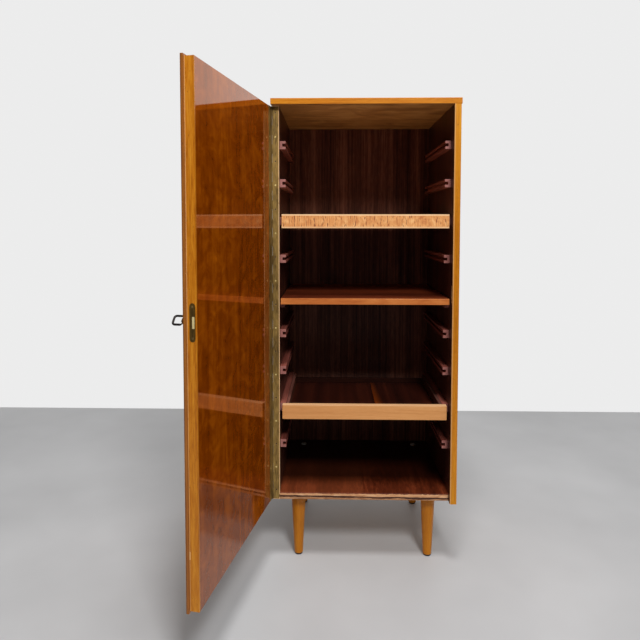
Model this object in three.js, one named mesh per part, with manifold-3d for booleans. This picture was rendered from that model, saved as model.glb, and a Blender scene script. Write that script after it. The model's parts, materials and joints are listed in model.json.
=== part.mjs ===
// Tall record cabinet on four turned legs. A door with a lock hangs on a continuous
// hinge; inside are rows of grooved runners, a middle shelf, a pull-out shelf and a tray.
// Millimetres, +Z up. x runs from the left side's outer face, y from the front edge of
// the left side towards the back, z from the ground. The whole is centred at the end.
import * as THREE from 'three';
import { mergeVertices } from 'three/addons/utils/BufferGeometryUtils.js';
import Module from 'manifold-3d';

const wasm = await Module();
wasm.setup();

// Carcass
const CARCASS_WIDTH = 500;
const CARCASS_DEPTH = 400;
const CARCASS_HEIGHT = 1092;
const SIDE_THICKNESS = 18;
const TOP_THICKNESS = 16;
const BOTTOM_THICKNESS = 19;
const FRONT_REACH = 20.5; // the top and the right side come this far forward
const TOP_OVERHANG_LEFT = 3;
const TOP_OVERHANG_RIGHT = 2;
const EDGE_ROUNDING = 1.5;
const LIPPING_DEPTH = 5; // solid strip along the bottom panel's front

// Joints between the carcass panels
const TONGUE_THICKNESS = 8;
const TONGUE_LENGTH = 6;
const BACK_THICKNESS = 8;
const BACK_RECESS = 2; // from the rear edges to the back panel
const REBATE_WIDTH = 8;
const FIT_GAP = 0.3; // between pieces cut to fit each other

// Legs
const LEG_HEIGHT = 180;
const LEG_TOP_RADIUS = 20.5;
const LEG_FOOT_RADIUS = 12.3;
const LEG_CHAMFER = 1.5;
const LEG_INSET_SIDE = 67; // from the carcass's outer faces to the leg's axis
const LEG_INSET_FRONT = 48;
const LEG_INSET_BACK = 46;
const SPIGOT_RADIUS = 10;
const SPIGOT_LENGTH = 12;
const GLIDE_RADIUS = 10.8;
const GLIDE_HEIGHT = 4;
const GLIDE_NAIL_RADIUS = 1.6;
const GLIDE_NAIL_LENGTH = 14;
const BOLT_RADIUS = 4;
const BOLT_LENGTH = 48;
const BOLT_HEAD_RADIUS = 9.5;
const BOLT_HEAD_HEIGHT = 5;

// Runners, in rows up both sides
const ROW_COUNT = 9;
const MIDDLE_ROW = 4; // the middle shelf takes the place of this row
const FIRST_ROW_RISE = 150; // from the carcass's underside to the lowest row
const LAST_ROW_DROP = 102; // from the top panel's underside to the highest row
const RUNNER_WIDTH = 16;
const RUNNER_HEIGHT = 22;
const RUNNER_SETBACK = 20; // from the carcass's front
const RUNNER_BACK_GAP = 30; // from a runner's end to the back panel
const GROOVE_HEIGHT = 8;
const GROOVE_DEPTH = 9;

// What slides in the runners
const SLIDE_TONGUE = 7.2; // thickness of the tongue that runs in a groove
const SLIDE_GAP = 1; // beside the runners and at the groove's floor
const SLIDE_BACK_GAP = 60; // from what slides to the back panel
const SHELF_ROW = 6;
const SHELF_THICKNESS = 37.5;
const SHELF_PLY = 4; // face sheet above and below the core
const SHELF_FRONT_DEPTH = 18; // the full-width front that hides the runners' ends
const SHELF_END_GAP = 6.5;
const SHELF_SETBACK = 1;
const TRAY_ROW = 1;
const TRAY_RISE = 12; // from the row's centre line to the tray's upper edge
const TRAY_HEIGHT = 40;
const TRAY_FRONT_THICKNESS = 16;
const TRAY_SIDE_THICKNESS = 8;
const TRAY_BACK_THICKNESS = 8;
const TRAY_END_GAP = 7.3;
const TRAY_FLOOR_DROP = 27; // from the tray's upper edge to its floor
const TRAY_FLOOR_THICKNESS = 6;
const TRAY_GROOVE_DEPTH = 4;
const TRAY_BACK_DROP = 11; // from the tray's upper edge to the upper edge of its back
const TRAY_JOINT_OFFSET = 36; // from the tray's centre line to the joint in its floor
const TRAY_JOINT_GAP = 1.5;

// Middle shelf
const MIDDLE_SHELF_THICKNESS = 16;
const MIDDLE_SHELF_DROP = 12; // from the missing row's line to the shelf's centre
const MIDDLE_SHELF_END_GAP = 3.5;
const MIDDLE_SHELF_LIPPING = 8;
const BEARER_WIDTH = 12;
const BEARER_HEIGHT = 12;
const BEARER_SETBACK = 30;

// Continuous hinge
const HINGE_GAP = 2; // between the carcass's front and the outer face of the door's leaf
const LEAF_THICKNESS = 0.9;
const LEAF_WIDTH = 16.5;
const KNUCKLE_RADIUS = 2.75;
const KNUCKLE_COUNT = 43;
const KNUCKLE_GAP = 0.3;
const HINGE_PIN_RADIUS = 1.5;
const PIN_CLEARANCE = 0.06;
const LEAF_BITE = 0.7; // how far a leaf runs into its knuckles
const SCREW_HOLE_COUNT = 17;
const SCREW_HOLE_RADIUS = 2.3;
const SCREW_HOLE_LINE = 8; // from the side's outer face
const SCREW_HOLE_LOW_GAP = 24.9; // from the leaf's lower end to its lowest hole
const SCREW_HOLE_HIGH_GAP = 16.2;

// Door
const DOOR_OPENING_ANGLE = 101;
const DOOR_CORE_THICKNESS = 20;
const DOOR_SKIN_THICKNESS = 6;
const DOOR_LIPPING_THICKNESS = 4;
const DOOR_GAP_TOP = 2.5;
const DOOR_GAP_BOTTOM = 2;
const DOOR_GAP_SIDE = 2.5;
const DOOR_LIP = 4; // the outer skin passes the core on three sides
const DOOR_SEAT = 0.2; // between pieces that lie on each other in the door

// Lock and key
const LOCK_ABOVE_MIDDLE = 26; // from the carcass's mid-height to the middle of the lock
const CASE_LENGTH = 60;
const CASE_DEPTH = 35.6;
const CASE_THICKNESS = 12;
const CASE_SETBACK = 2.6; // from the core's inner face to the case
const FACEPLATE_LENGTH = 75;
const FACEPLATE_WIDTH = 11.5;
const FACEPLATE_THICKNESS = 1.5;
const BOLT_BAR_HEIGHT = 22.6;
const BOLT_BAR_THICKNESS = 4.7;
const BOLT_BAR_LENGTH = 28.4;
const BOLT_BAR_WALL = 1.8; // from the case's inner side to the bolt
const BACKSET = 23; // from the door's free edge to the key's axis
const KEYHOLE_RADIUS = 3.4;
const KEYHOLE_SLOT_WIDTH = 3.2;
const KEYHOLE_SLOT_REACH = 9.4;
const BIT_CHAMBER_DEPTH = 4.2;
const STRIKE_LENGTH = 46;
const STRIKE_WIDTH = 12;
const STRIKE_THICKNESS = 1.2;
const STRIKE_MORTISE_DEPTH = 10;
const STRIKE_SLOT_GAP = 0.7;
const ESCUTCHEON_RADIUS = 12;
const ESCUTCHEON_THICKNESS = 1;
const KEY_ANGLE = 130; // the bit's direction at rest, from level
const KEY_SHANK_RADIUS = 2.9;
const KEY_REACH = 12; // from the door's outer face to the bow's pivot
const KEY_BIT_LENGTH = 8.6;
const KEY_BIT_WIDTH = 3;
const KEY_BIT_THICKNESS = 2.4;
const KEY_EYE_WIDTH = 7;
const KEY_EYE_RADIUS = 3.6;
const BOW_WIDTH = 23.5;
const BOW_LENGTH = 23;
const BOW_BAR = 4;
const BOW_PIVOT_RADIUS = 1.5;

// Fineness of round forms
const ROUND_STEPS = 30;
const SMALL_ARC_STEPS = 6;
const HOLE_ARC_STEPS = 5;
const EDGE_ARC_STEPS = 3;

// Where things are
const underside = LEG_HEIGHT;
const topUnderside = LEG_HEIGHT + CARCASS_HEIGHT - TOP_THICKNESS;
const innerLeft = SIDE_THICKNESS;
const innerRight = CARCASS_WIDTH - SIDE_THICKNESS;
const middleX = CARCASS_WIDTH / 2;
const backFace = CARCASS_DEPTH - BACK_RECESS - BACK_THICKNESS;
const slideBack = backFace - SLIDE_BACK_GAP;
const rowPitch = (topUnderside - underside - FIRST_ROW_RISE - LAST_ROW_DROP) / (ROW_COUNT - 1);
const legPlaces = [
  ['front_left', LEG_INSET_SIDE, LEG_INSET_FRONT],
  ['front_right', CARCASS_WIDTH - LEG_INSET_SIDE, LEG_INSET_FRONT],
  ['back_left', LEG_INSET_SIDE, CARCASS_DEPTH - LEG_INSET_BACK],
  ['back_right', CARCASS_WIDTH - LEG_INSET_SIDE, CARCASS_DEPTH - LEG_INSET_BACK],
];
const pinX = -KNUCKLE_RADIUS;
const pinY = -HINGE_GAP / 2;
const doorInner = -HINGE_GAP - DOOR_SEAT;
const coreOuter = doorInner - DOOR_CORE_THICKNESS;
const skinInner = coreOuter - DOOR_SEAT;
const doorOuter = skinInner - DOOR_SKIN_THICKNESS;
const doorFree = innerRight - DOOR_GAP_SIDE;
const doorLow = underside + DOOR_GAP_BOTTOM;
const doorHigh = topUnderside - DOOR_GAP_TOP;
const lockZ = underside + CARCASS_HEIGHT / 2 + LOCK_ABOVE_MIDDLE;
const caseInner = doorInner - CASE_SETBACK;
const caseOuter = caseInner - CASE_THICKNESS;
const caseFront = doorFree - FACEPLATE_THICKNESS - FIT_GAP;
const boltInner = caseInner - BOLT_BAR_WALL;
const boltOuter = boltInner - BOLT_BAR_THICKNESS;
const keyX = doorFree - BACKSET;
const bowPivot = doorOuter - KEY_REACH;

function rowHeight(row) {
  return underside + FIRST_ROW_RISE + row * rowPitch;
}

// Geometry helpers

function block([x0, x1], [y0, y1], [z0, z1]) {
  const box = new THREE.BoxGeometry(x1 - x0, y1 - y0, z1 - z0);
  return box.translate((x0 + x1) / 2, (y0 + y1) / 2, (z0 + z1) / 2);
}

function outline(points) {
  return new THREE.Shape(points.map(([a, b]) => new THREE.Vector2(a, b)));
}

// A shape drawn across the named axis, drawn out along it. Across x the shape's own
// axes are y and z, across y they are x and z, and across z they are x and y.
function prism(shape, axis, [from, to], arcSteps = SMALL_ARC_STEPS) {
  const options = { depth: to - from, bevelEnabled: false, curveSegments: arcSteps };
  const geometry = new THREE.ExtrudeGeometry(shape, options);
  const X = new THREE.Vector3(1, 0, 0);
  const Y = new THREE.Vector3(0, 1, 0);
  const Z = new THREE.Vector3(0, 0, 1);
  if (axis === 'x') {
    geometry.applyMatrix4(new THREE.Matrix4().makeBasis(Y, Z, X));
    return geometry.translate(from, 0, 0);
  }
  if (axis === 'y') {
    geometry.applyMatrix4(new THREE.Matrix4().makeBasis(X, Z, Y.negate()));
    return geometry.translate(0, to, 0);
  }
  return geometry.translate(0, 0, from);
}

function revolve(points, steps = ROUND_STEPS) {
  const profile = points.map(([radius, height]) => new THREE.Vector2(radius, height));
  return new THREE.LatheGeometry(profile, steps).rotateX(Math.PI / 2);
}

function rod(radius, axis, span, [a, b], arcSteps = SMALL_ARC_STEPS) {
  return prism(new THREE.Shape().absarc(a, b, radius, 0, 2 * Math.PI), axis, span, arcSteps);
}

function solid(geometry) {
  const bare = geometry.clone();
  bare.deleteAttribute('normal');
  bare.deleteAttribute('uv');
  const merged = mergeVertices(bare);
  const vertProperties = merged.attributes.position.array;
  const triVerts = new Uint32Array(merged.index.array);
  return new wasm.Manifold(new wasm.Mesh({ numProp: 3, vertProperties, triVerts }));
}

function geometryOf(body) {
  const { vertProperties, triVerts, numProp } = body.getMesh();
  const positions = new Float32Array(triVerts.length * numProp);
  triVerts.forEach((vertex, corner) => {
    for (let axis = 0; axis < numProp; axis += 1) {
      positions[corner * numProp + axis] = vertProperties[vertex * numProp + axis];
    }
  });
  const geometry = new THREE.BufferGeometry();
  geometry.setAttribute('position', new THREE.BufferAttribute(positions, numProp));
  geometry.computeVertexNormals();
  return geometry;
}

function carve(geometry, ...tools) {
  return geometryOf(tools.reduce((body, tool) => body.subtract(solid(tool)), solid(geometry)));
}

function join(geometry, ...others) {
  return geometryOf(others.reduce((body, other) => body.add(solid(other)), solid(geometry)));
}

const FINISHES = {
  honeyVeneer: [0xc88536, 0.35, 0],
  darkVeneer: [0x4a2413, 0.4, 0],
  lacqueredVeneer: [0x7a3e10, 0.18, 0],
  rawWood: [0xd8a878, 0.75, 0],
  stainedRunner: [0xa06058, 0.6, 0],
  blockboard: [0xe0a46c, 0.7, 0],
  beech: [0xcf9454, 0.45, 0],
  turnedWood: [0xb4761f, 0.35, 0],
  agedBrass: [0x8f7d45, 0.4, 1],
  steel: [0xa8a49c, 0.35, 1],
  blackPlastic: [0x1f1b18, 0.55, 0],
  blackIron: [0x221e1c, 0.5, 0.6],
};

function piece(parent, name, geometry, finish) {
  const [color, roughness, metalness] = FINISHES[finish];
  const material = new THREE.MeshStandardMaterial({ color, roughness, metalness });
  const mesh = new THREE.Mesh(geometry, material);
  mesh.name = name;
  parent.add(mesh);
}

// Carcass

// A side panel's section seen from above, for the left side, rebated for the back.
function sideSection(front, rounding) {
  const shape = new THREE.Shape();
  shape.moveTo(0, front + rounding);
  if (rounding > 0) {
    shape.absarc(rounding, front + rounding, rounding, Math.PI, 1.5 * Math.PI);
    shape.absarc(SIDE_THICKNESS - rounding, front + rounding, rounding, 1.5 * Math.PI, 2 * Math.PI);
  } else {
    shape.lineTo(SIDE_THICKNESS, front);
  }
  shape.lineTo(SIDE_THICKNESS, backFace);
  shape.lineTo(SIDE_THICKNESS - REBATE_WIDTH, backFace);
  shape.lineTo(SIDE_THICKNESS - REBATE_WIDTH, CARCASS_DEPTH);
  shape.lineTo(0, CARCASS_DEPTH);
  return shape;
}

// The housing for the bottom panel's tongue, as a block on the left side's inner face.
function tongueHousing() {
  const low = underside + (BOTTOM_THICKNESS - TONGUE_THICKNESS) / 2;
  const across = [innerLeft - TONGUE_LENGTH - FIT_GAP, innerLeft + TONGUE_LENGTH];
  return block(across, [-FIT_GAP, backFace + FIT_GAP], [low - FIT_GAP, low + TONGUE_THICKNESS + FIT_GAP]);
}

function mirrored(geometry) {
  const flipped = solid(geometry).mirror([1, 0, 0]).translate([CARCASS_WIDTH, 0, 0]);
  return geometryOf(flipped);
}

function sideLeft() {
  return carve(prism(sideSection(0, 0), 'z', [underside, topUnderside]), tongueHousing());
}

// The right side stops the door and takes the lock's bolt through a strike plate.
function sideRight() {
  const section = sideSection(-FRONT_REACH, EDGE_ROUNDING);
  const panel = prism(section, 'z', [underside, topUnderside], EDGE_ARC_STEPS);
  const housing = block(
    [innerLeft - TONGUE_LENGTH - FIT_GAP, innerLeft + TONGUE_LENGTH],
    [0, backFace + FIT_GAP],
    [
      underside + (BOTTOM_THICKNESS - TONGUE_THICKNESS) / 2 - FIT_GAP,
      underside + (BOTTOM_THICKNESS + TONGUE_THICKNESS) / 2 + FIT_GAP,
    ],
  );
  const plateBed = strikeBlock(
    STRIKE_WIDTH / 2 + FIT_GAP,
    STRIKE_LENGTH / 2 + FIT_GAP,
    [innerLeft - STRIKE_THICKNESS - FIT_GAP, innerLeft + STRIKE_THICKNESS],
  );
  const mortise = strikeBlock(
    BOLT_BAR_THICKNESS / 2 + STRIKE_SLOT_GAP,
    BOLT_BAR_HEIGHT / 2 + STRIKE_SLOT_GAP,
    [innerLeft - STRIKE_MORTISE_DEPTH, innerLeft + STRIKE_THICKNESS],
  );
  return mirrored(carve(panel, housing, plateBed, mortise));
}

// A block round the closed bolt's line, in the left side's place.
function strikeBlock(halfDepth, halfHeight, across) {
  const y = (boltInner + boltOuter) / 2;
  return block(across, [y - halfDepth, y + halfDepth], [lockZ - halfHeight, lockZ + halfHeight]);
}

function strikePlate() {
  const plate = strikeBlock(
    STRIKE_WIDTH / 2,
    STRIKE_LENGTH / 2,
    [innerLeft - STRIKE_THICKNESS, innerLeft],
  );
  const slot = strikeBlock(
    BOLT_BAR_THICKNESS / 2 + STRIKE_SLOT_GAP,
    BOLT_BAR_HEIGHT / 2 + STRIKE_SLOT_GAP,
    [innerLeft - 2 * STRIKE_THICKNESS, innerLeft + STRIKE_THICKNESS],
  );
  return mirrored(carve(plate, slot));
}

function topPanel() {
  const front = -FRONT_REACH;
  const high = topUnderside + TOP_THICKNESS;
  const shape = new THREE.Shape();
  shape.moveTo(CARCASS_DEPTH, high);
  shape.lineTo(front + EDGE_ROUNDING, high);
  shape.absarc(front + EDGE_ROUNDING, high - EDGE_ROUNDING, EDGE_ROUNDING, 0.5 * Math.PI, Math.PI);
  shape.absarc(
    front + EDGE_ROUNDING, topUnderside + EDGE_ROUNDING, EDGE_ROUNDING, Math.PI, 1.5 * Math.PI,
  );
  shape.lineTo(CARCASS_DEPTH, topUnderside);
  const across = [-TOP_OVERHANG_LEFT, CARCASS_WIDTH + TOP_OVERHANG_RIGHT];
  const panel = prism(shape, 'x', across, EDGE_ARC_STEPS);
  const rebate = block(
    [innerLeft - REBATE_WIDTH, innerRight + REBATE_WIDTH],
    [backFace, CARCASS_DEPTH + REBATE_WIDTH],
    [topUnderside - REBATE_WIDTH, topUnderside + REBATE_WIDTH],
  );
  return carve(panel, rebate);
}

function bottomPanel() {
  const high = underside + BOTTOM_THICKNESS;
  const tongueLow = underside + (BOTTOM_THICKNESS - TONGUE_THICKNESS) / 2;
  const tongueHigh = tongueLow + TONGUE_THICKNESS;
  const section = outline([
    [innerLeft, underside],
    [innerRight, underside],
    [innerRight, tongueLow],
    [innerRight + TONGUE_LENGTH, tongueLow],
    [innerRight + TONGUE_LENGTH, tongueHigh],
    [innerRight, tongueHigh],
    [innerRight, high],
    [innerLeft, high],
    [innerLeft, tongueHigh],
    [innerLeft - TONGUE_LENGTH, tongueHigh],
    [innerLeft - TONGUE_LENGTH, tongueLow],
    [innerLeft, tongueLow],
  ]);
  const bores = [];
  for (const [name, x, y] of legPlaces) {
    const spigotBore = [underside - SPIGOT_LENGTH, underside + SPIGOT_LENGTH + FIT_GAP];
    bores.push(rod(SPIGOT_RADIUS + FIT_GAP, 'z', spigotBore, [x, y], ROUND_STEPS / 2));
    if (name.startsWith('back')) {
      bores.push(rod(BOLT_RADIUS + FIT_GAP, 'z', [underside, high + BOLT_RADIUS], [x, y]));
    }
  }
  return carve(prism(section, 'y', [LIPPING_DEPTH, backFace]), ...bores);
}

function backPanel() {
  return block(
    [innerLeft - REBATE_WIDTH + FIT_GAP, innerRight + REBATE_WIDTH - FIT_GAP],
    [backFace, backFace + BACK_THICKNESS],
    [underside, topUnderside + REBATE_WIDTH - FIT_GAP],
  );
}

// A leg with a spigot above its shoulder and a hole for the glide's nail. A back leg
// is also bored from above for its bolt.
function leg(bolted) {
  const nailHole = GLIDE_NAIL_RADIUS + FIT_GAP;
  const spigotTop = LEG_HEIGHT + SPIGOT_LENGTH;
  const boltHole = BOLT_RADIUS + FIT_GAP;
  const boltFloor = underside + BOTTOM_THICKNESS - BOLT_LENGTH - FIT_GAP;
  const above = bolted ? [[0, boltFloor], [boltHole, boltFloor], [boltHole, spigotTop]] : [[0, spigotTop]];
  return revolve([
    [0, GLIDE_HEIGHT + GLIDE_NAIL_LENGTH],
    [nailHole, GLIDE_HEIGHT + GLIDE_NAIL_LENGTH],
    [nailHole, GLIDE_HEIGHT],
    [LEG_FOOT_RADIUS - LEG_CHAMFER, GLIDE_HEIGHT],
    [LEG_FOOT_RADIUS, GLIDE_HEIGHT + LEG_CHAMFER],
    [LEG_TOP_RADIUS, LEG_HEIGHT - LEG_CHAMFER],
    [LEG_TOP_RADIUS - LEG_CHAMFER, LEG_HEIGHT],
    [SPIGOT_RADIUS, LEG_HEIGHT],
    [SPIGOT_RADIUS, spigotTop],
    ...above.reverse(),
  ]);
}

function glide() {
  const nailTop = GLIDE_HEIGHT + GLIDE_NAIL_LENGTH - FIT_GAP;
  return revolve([
    [0, 0],
    [GLIDE_RADIUS - GLIDE_HEIGHT / 4, 0],
    [GLIDE_RADIUS, GLIDE_HEIGHT / 4],
    [GLIDE_RADIUS, GLIDE_HEIGHT],
    [GLIDE_NAIL_RADIUS, GLIDE_HEIGHT],
    [GLIDE_NAIL_RADIUS, nailTop],
    [0, nailTop],
  ]);
}

function domedBolt() {
  const seat = underside + BOTTOM_THICKNESS;
  const points = [[0, seat - BOLT_LENGTH], [BOLT_RADIUS, seat - BOLT_LENGTH], [BOLT_RADIUS, seat]];
  for (let step = 0; step <= SMALL_ARC_STEPS; step += 1) {
    const turn = (step / SMALL_ARC_STEPS) * (Math.PI / 2);
    points.push([BOLT_HEAD_RADIUS * Math.cos(turn), seat + BOLT_HEAD_HEIGHT * Math.sin(turn)]);
  }
  points[points.length - 1][0] = 0;
  return revolve(points);
}

// Runners

function runnerLeft(row) {
  const z = rowHeight(row);
  const inner = innerLeft + RUNNER_WIDTH;
  const grooveFloor = inner - GROOVE_DEPTH;
  const section = outline([
    [innerLeft, z - RUNNER_HEIGHT / 2],
    [inner, z - RUNNER_HEIGHT / 2],
    [inner, z - GROOVE_HEIGHT / 2],
    [grooveFloor, z - GROOVE_HEIGHT / 2],
    [grooveFloor, z + GROOVE_HEIGHT / 2],
    [inner, z + GROOVE_HEIGHT / 2],
    [inner, z + RUNNER_HEIGHT / 2],
    [innerLeft, z + RUNNER_HEIGHT / 2],
  ]);
  return prism(section, 'y', [RUNNER_SETBACK, backFace - RUNNER_BACK_GAP]);
}

// Middle shelf

const middleShelfCentre = rowHeight(MIDDLE_ROW) - MIDDLE_SHELF_DROP;
const middleShelfLow = middleShelfCentre - MIDDLE_SHELF_THICKNESS / 2;

function middleShelf([front, back]) {
  return block(
    [innerLeft + MIDDLE_SHELF_END_GAP, innerRight - MIDDLE_SHELF_END_GAP],
    [front, back],
    [middleShelfLow, middleShelfLow + MIDDLE_SHELF_THICKNESS],
  );
}

function bearerLeft() {
  return block(
    [innerLeft, innerLeft + BEARER_WIDTH],
    [BEARER_SETBACK, backFace - BEARER_SETBACK],
    [middleShelfLow - BEARER_HEIGHT, middleShelfLow],
  );
}

// Pull-out shelf, a thick board whose tongues run in the grooves

const slideInner = innerLeft + RUNNER_WIDTH + SLIDE_GAP;
const tongueEdge = innerLeft + RUNNER_WIDTH - GROOVE_DEPTH + SLIDE_GAP;

function tongueSpan(row) {
  const low = rowHeight(row) - GROOVE_HEIGHT / 2 + FIT_GAP;
  return [low, low + SLIDE_TONGUE];
}

// The board's outline from above: full width at the front, then narrower between the
// runners.
function shelfOutline() {
  const frontLeft = innerLeft + SHELF_END_GAP;
  const step = SHELF_SETBACK + SHELF_FRONT_DEPTH;
  return outline([
    [frontLeft, SHELF_SETBACK],
    [CARCASS_WIDTH - frontLeft, SHELF_SETBACK],
    [CARCASS_WIDTH - frontLeft, step],
    [CARCASS_WIDTH - slideInner, step],
    [CARCASS_WIDTH - slideInner, slideBack],
    [slideInner, slideBack],
    [slideInner, step],
    [frontLeft, step],
  ]);
}

function shelfCore() {
  const z = rowHeight(SHELF_ROW);
  const half = SHELF_THICKNESS / 2 - SHELF_PLY;
  const body = prism(shelfOutline(), 'z', [z - half, z + half]);
  const tongues = block(
    [tongueEdge, CARCASS_WIDTH - tongueEdge],
    [RUNNER_SETBACK - SLIDE_GAP, slideBack],
    tongueSpan(SHELF_ROW),
  );
  return join(body, tongues);
}

function shelfPly(side) {
  const z = rowHeight(SHELF_ROW);
  const outer = z + (side * SHELF_THICKNESS) / 2;
  const inner = outer - side * SHELF_PLY;
  return prism(shelfOutline(), 'z', [Math.min(inner, outer), Math.max(inner, outer)]);
}

// Tray, a shallow drawer open above

const trayHigh = rowHeight(TRAY_ROW) + TRAY_RISE;
const trayLow = trayHigh - TRAY_HEIGHT;
const trayFloor = trayHigh - TRAY_FLOOR_DROP;

function trayFront() {
  const ends = innerLeft + TRAY_END_GAP;
  const strip = block([ends, CARCASS_WIDTH - ends], [0, TRAY_FRONT_THICKNESS], [trayLow, trayHigh]);
  const groove = block(
    [slideInner, CARCASS_WIDTH - slideInner],
    [TRAY_FRONT_THICKNESS - TRAY_GROOVE_DEPTH - FIT_GAP, TRAY_FRONT_THICKNESS + TRAY_GROOVE_DEPTH],
    [trayFloor - TRAY_FLOOR_THICKNESS - FIT_GAP, trayFloor + FIT_GAP],
  );
  return carve(strip, groove);
}

// The left side's section seen from the front: a tongue outwards, a groove inwards.
function traySideLeft() {
  const [tongueLow, tongueHigh] = tongueSpan(TRAY_ROW);
  const inner = slideInner + TRAY_SIDE_THICKNESS;
  const grooveLow = trayFloor - TRAY_FLOOR_THICKNESS - FIT_GAP;
  const section = outline([
    [slideInner, trayLow],
    [inner, trayLow],
    [inner, grooveLow],
    [inner - TRAY_GROOVE_DEPTH, grooveLow],
    [inner - TRAY_GROOVE_DEPTH, trayFloor + FIT_GAP],
    [inner, trayFloor + FIT_GAP],
    [inner, trayHigh],
    [slideInner, trayHigh],
    [slideInner, tongueHigh],
    [tongueEdge, tongueHigh],
    [tongueEdge, tongueLow],
    [slideInner, tongueLow],
  ]);
  return prism(section, 'y', [TRAY_FRONT_THICKNESS + SLIDE_GAP, slideBack]);
}

function trayFloorBoard(across) {
  return block(
    across,
    [TRAY_FRONT_THICKNESS - TRAY_GROOVE_DEPTH, slideBack],
    [trayFloor - TRAY_FLOOR_THICKNESS, trayFloor],
  );
}

function trayBackRail() {
  const edge = slideInner + TRAY_SIDE_THICKNESS;
  return block(
    [edge, CARCASS_WIDTH - edge],
    [slideBack - TRAY_BACK_THICKNESS, slideBack],
    [trayFloor, trayHigh - TRAY_BACK_DROP],
  );
}

// Continuous hinge, drawn closed. The two leaves carry alternate knuckles.

function screwHoles() {
  const lowest = doorLow + SCREW_HOLE_LOW_GAP;
  const step = (doorHigh - SCREW_HOLE_HIGH_GAP - lowest) / (SCREW_HOLE_COUNT - 1);
  return Array.from({ length: SCREW_HOLE_COUNT }, (_, index) => {
    const height = lowest + index * step;
    return new THREE.Path().absarc(SCREW_HOLE_LINE, height, SCREW_HOLE_RADIUS, 0, 2 * Math.PI, true);
  });
}

function leaf(firstKnuckle, [near, far]) {
  const length = doorHigh - doorLow;
  const pitch = length / KNUCKLE_COUNT;
  const comb = new THREE.Shape();
  comb.moveTo(LEAF_WIDTH, doorLow);
  comb.lineTo(LEAF_WIDTH, doorHigh);
  const knuckles = [];
  for (let index = KNUCKLE_COUNT - 1; index >= 0; index -= 1) {
    const own = index % 2 === firstKnuckle;
    const low = doorLow + index * pitch + (own && index > 0 ? KNUCKLE_GAP / 2 : 0);
    const last = index === KNUCKLE_COUNT - 1;
    const high = doorLow + (index + 1) * pitch - (own && !last ? KNUCKLE_GAP / 2 : 0);
    const edge = own ? -LEAF_BITE : KNUCKLE_GAP;
    const bottom = own || index === 0 ? low : low - KNUCKLE_GAP / 2;
    const top = own || last ? high : high + KNUCKLE_GAP / 2;
    comb.lineTo(edge, top);
    comb.lineTo(edge, bottom);
    if (own) {
      const ring = new THREE.Shape().absarc(pinX, pinY, KNUCKLE_RADIUS, 0, 2 * Math.PI);
      const bore = HINGE_PIN_RADIUS + PIN_CLEARANCE;
      ring.holes.push(new THREE.Path().absarc(pinX, pinY, bore, 0, 2 * Math.PI, true));
      knuckles.push(prism(ring, 'z', [low, high]));
    }
  }
  comb.holes = screwHoles();
  return join(prism(comb, 'y', [near, far], HOLE_ARC_STEPS), ...knuckles);
}

// Door, drawn closed

// A keyhole drawn about the key's axis, its slot downwards.
function keyhole() {
  const half = KEYHOLE_SLOT_WIDTH / 2;
  const start = -Math.acos(half / KEYHOLE_RADIUS);
  const shape = new THREE.Shape();
  shape.moveTo(keyX + half, lockZ - KEYHOLE_SLOT_REACH);
  shape.absarc(keyX, lockZ, KEYHOLE_RADIUS, start, Math.PI - start);
  shape.lineTo(keyX - half, lockZ - KEYHOLE_SLOT_REACH);
  return shape;
}

function casePocket() {
  return block(
    [caseFront - CASE_DEPTH - FIT_GAP, doorFree + DOOR_LIP],
    [caseOuter - FIT_GAP, caseInner + FIT_GAP],
    [lockZ - CASE_LENGTH / 2 - FIT_GAP, lockZ + CASE_LENGTH / 2 + FIT_GAP],
  );
}

// The faceplate's outline on the door's edge, with round ends.
function faceplateOutline(extra) {
  const y = (caseInner + caseOuter) / 2;
  const radius = FACEPLATE_WIDTH / 2 + extra;
  const reach = (FACEPLATE_LENGTH - FACEPLATE_WIDTH) / 2;
  const shape = new THREE.Shape();
  shape.absarc(y, lockZ + reach, radius, 0, Math.PI);
  shape.absarc(y, lockZ - reach, radius, Math.PI, 2 * Math.PI);
  return shape;
}

function doorCore() {
  const end = doorFree - DOOR_LIPPING_THICKNESS - DOOR_SEAT;
  const panel = block([0, end], [coreOuter, doorInner], [doorLow, doorHigh]);
  const hole = prism(keyhole(), 'y', [coreOuter - DOOR_SEAT, caseOuter], ROUND_STEPS / 2);
  return carve(panel, casePocket(), hole);
}

function doorLipping() {
  const strip = block(
    [doorFree - DOOR_LIPPING_THICKNESS, doorFree], [coreOuter, doorInner], [doorLow, doorHigh],
  );
  const bed = [caseFront, doorFree + DOOR_LIP];
  return carve(strip, casePocket(), prism(faceplateOutline(DOOR_SEAT), 'x', bed));
}

function doorSkin() {
  const panel = block(
    [0, doorFree + DOOR_LIP], [doorOuter, skinInner], [doorLow - DOOR_LIP, doorHigh + DOOR_LIP],
  );
  const hole = prism(keyhole(), 'y', [doorOuter - DOOR_LIP, skinInner + DOOR_LIP], ROUND_STEPS / 2);
  return carve(panel, hole);
}

// Lock

function boltChannel(across, gap) {
  return block(
    across,
    [boltOuter - gap, boltInner + gap],
    [lockZ - BOLT_BAR_HEIGHT / 2 - gap, lockZ + BOLT_BAR_HEIGHT / 2 + gap],
  );
}

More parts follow.
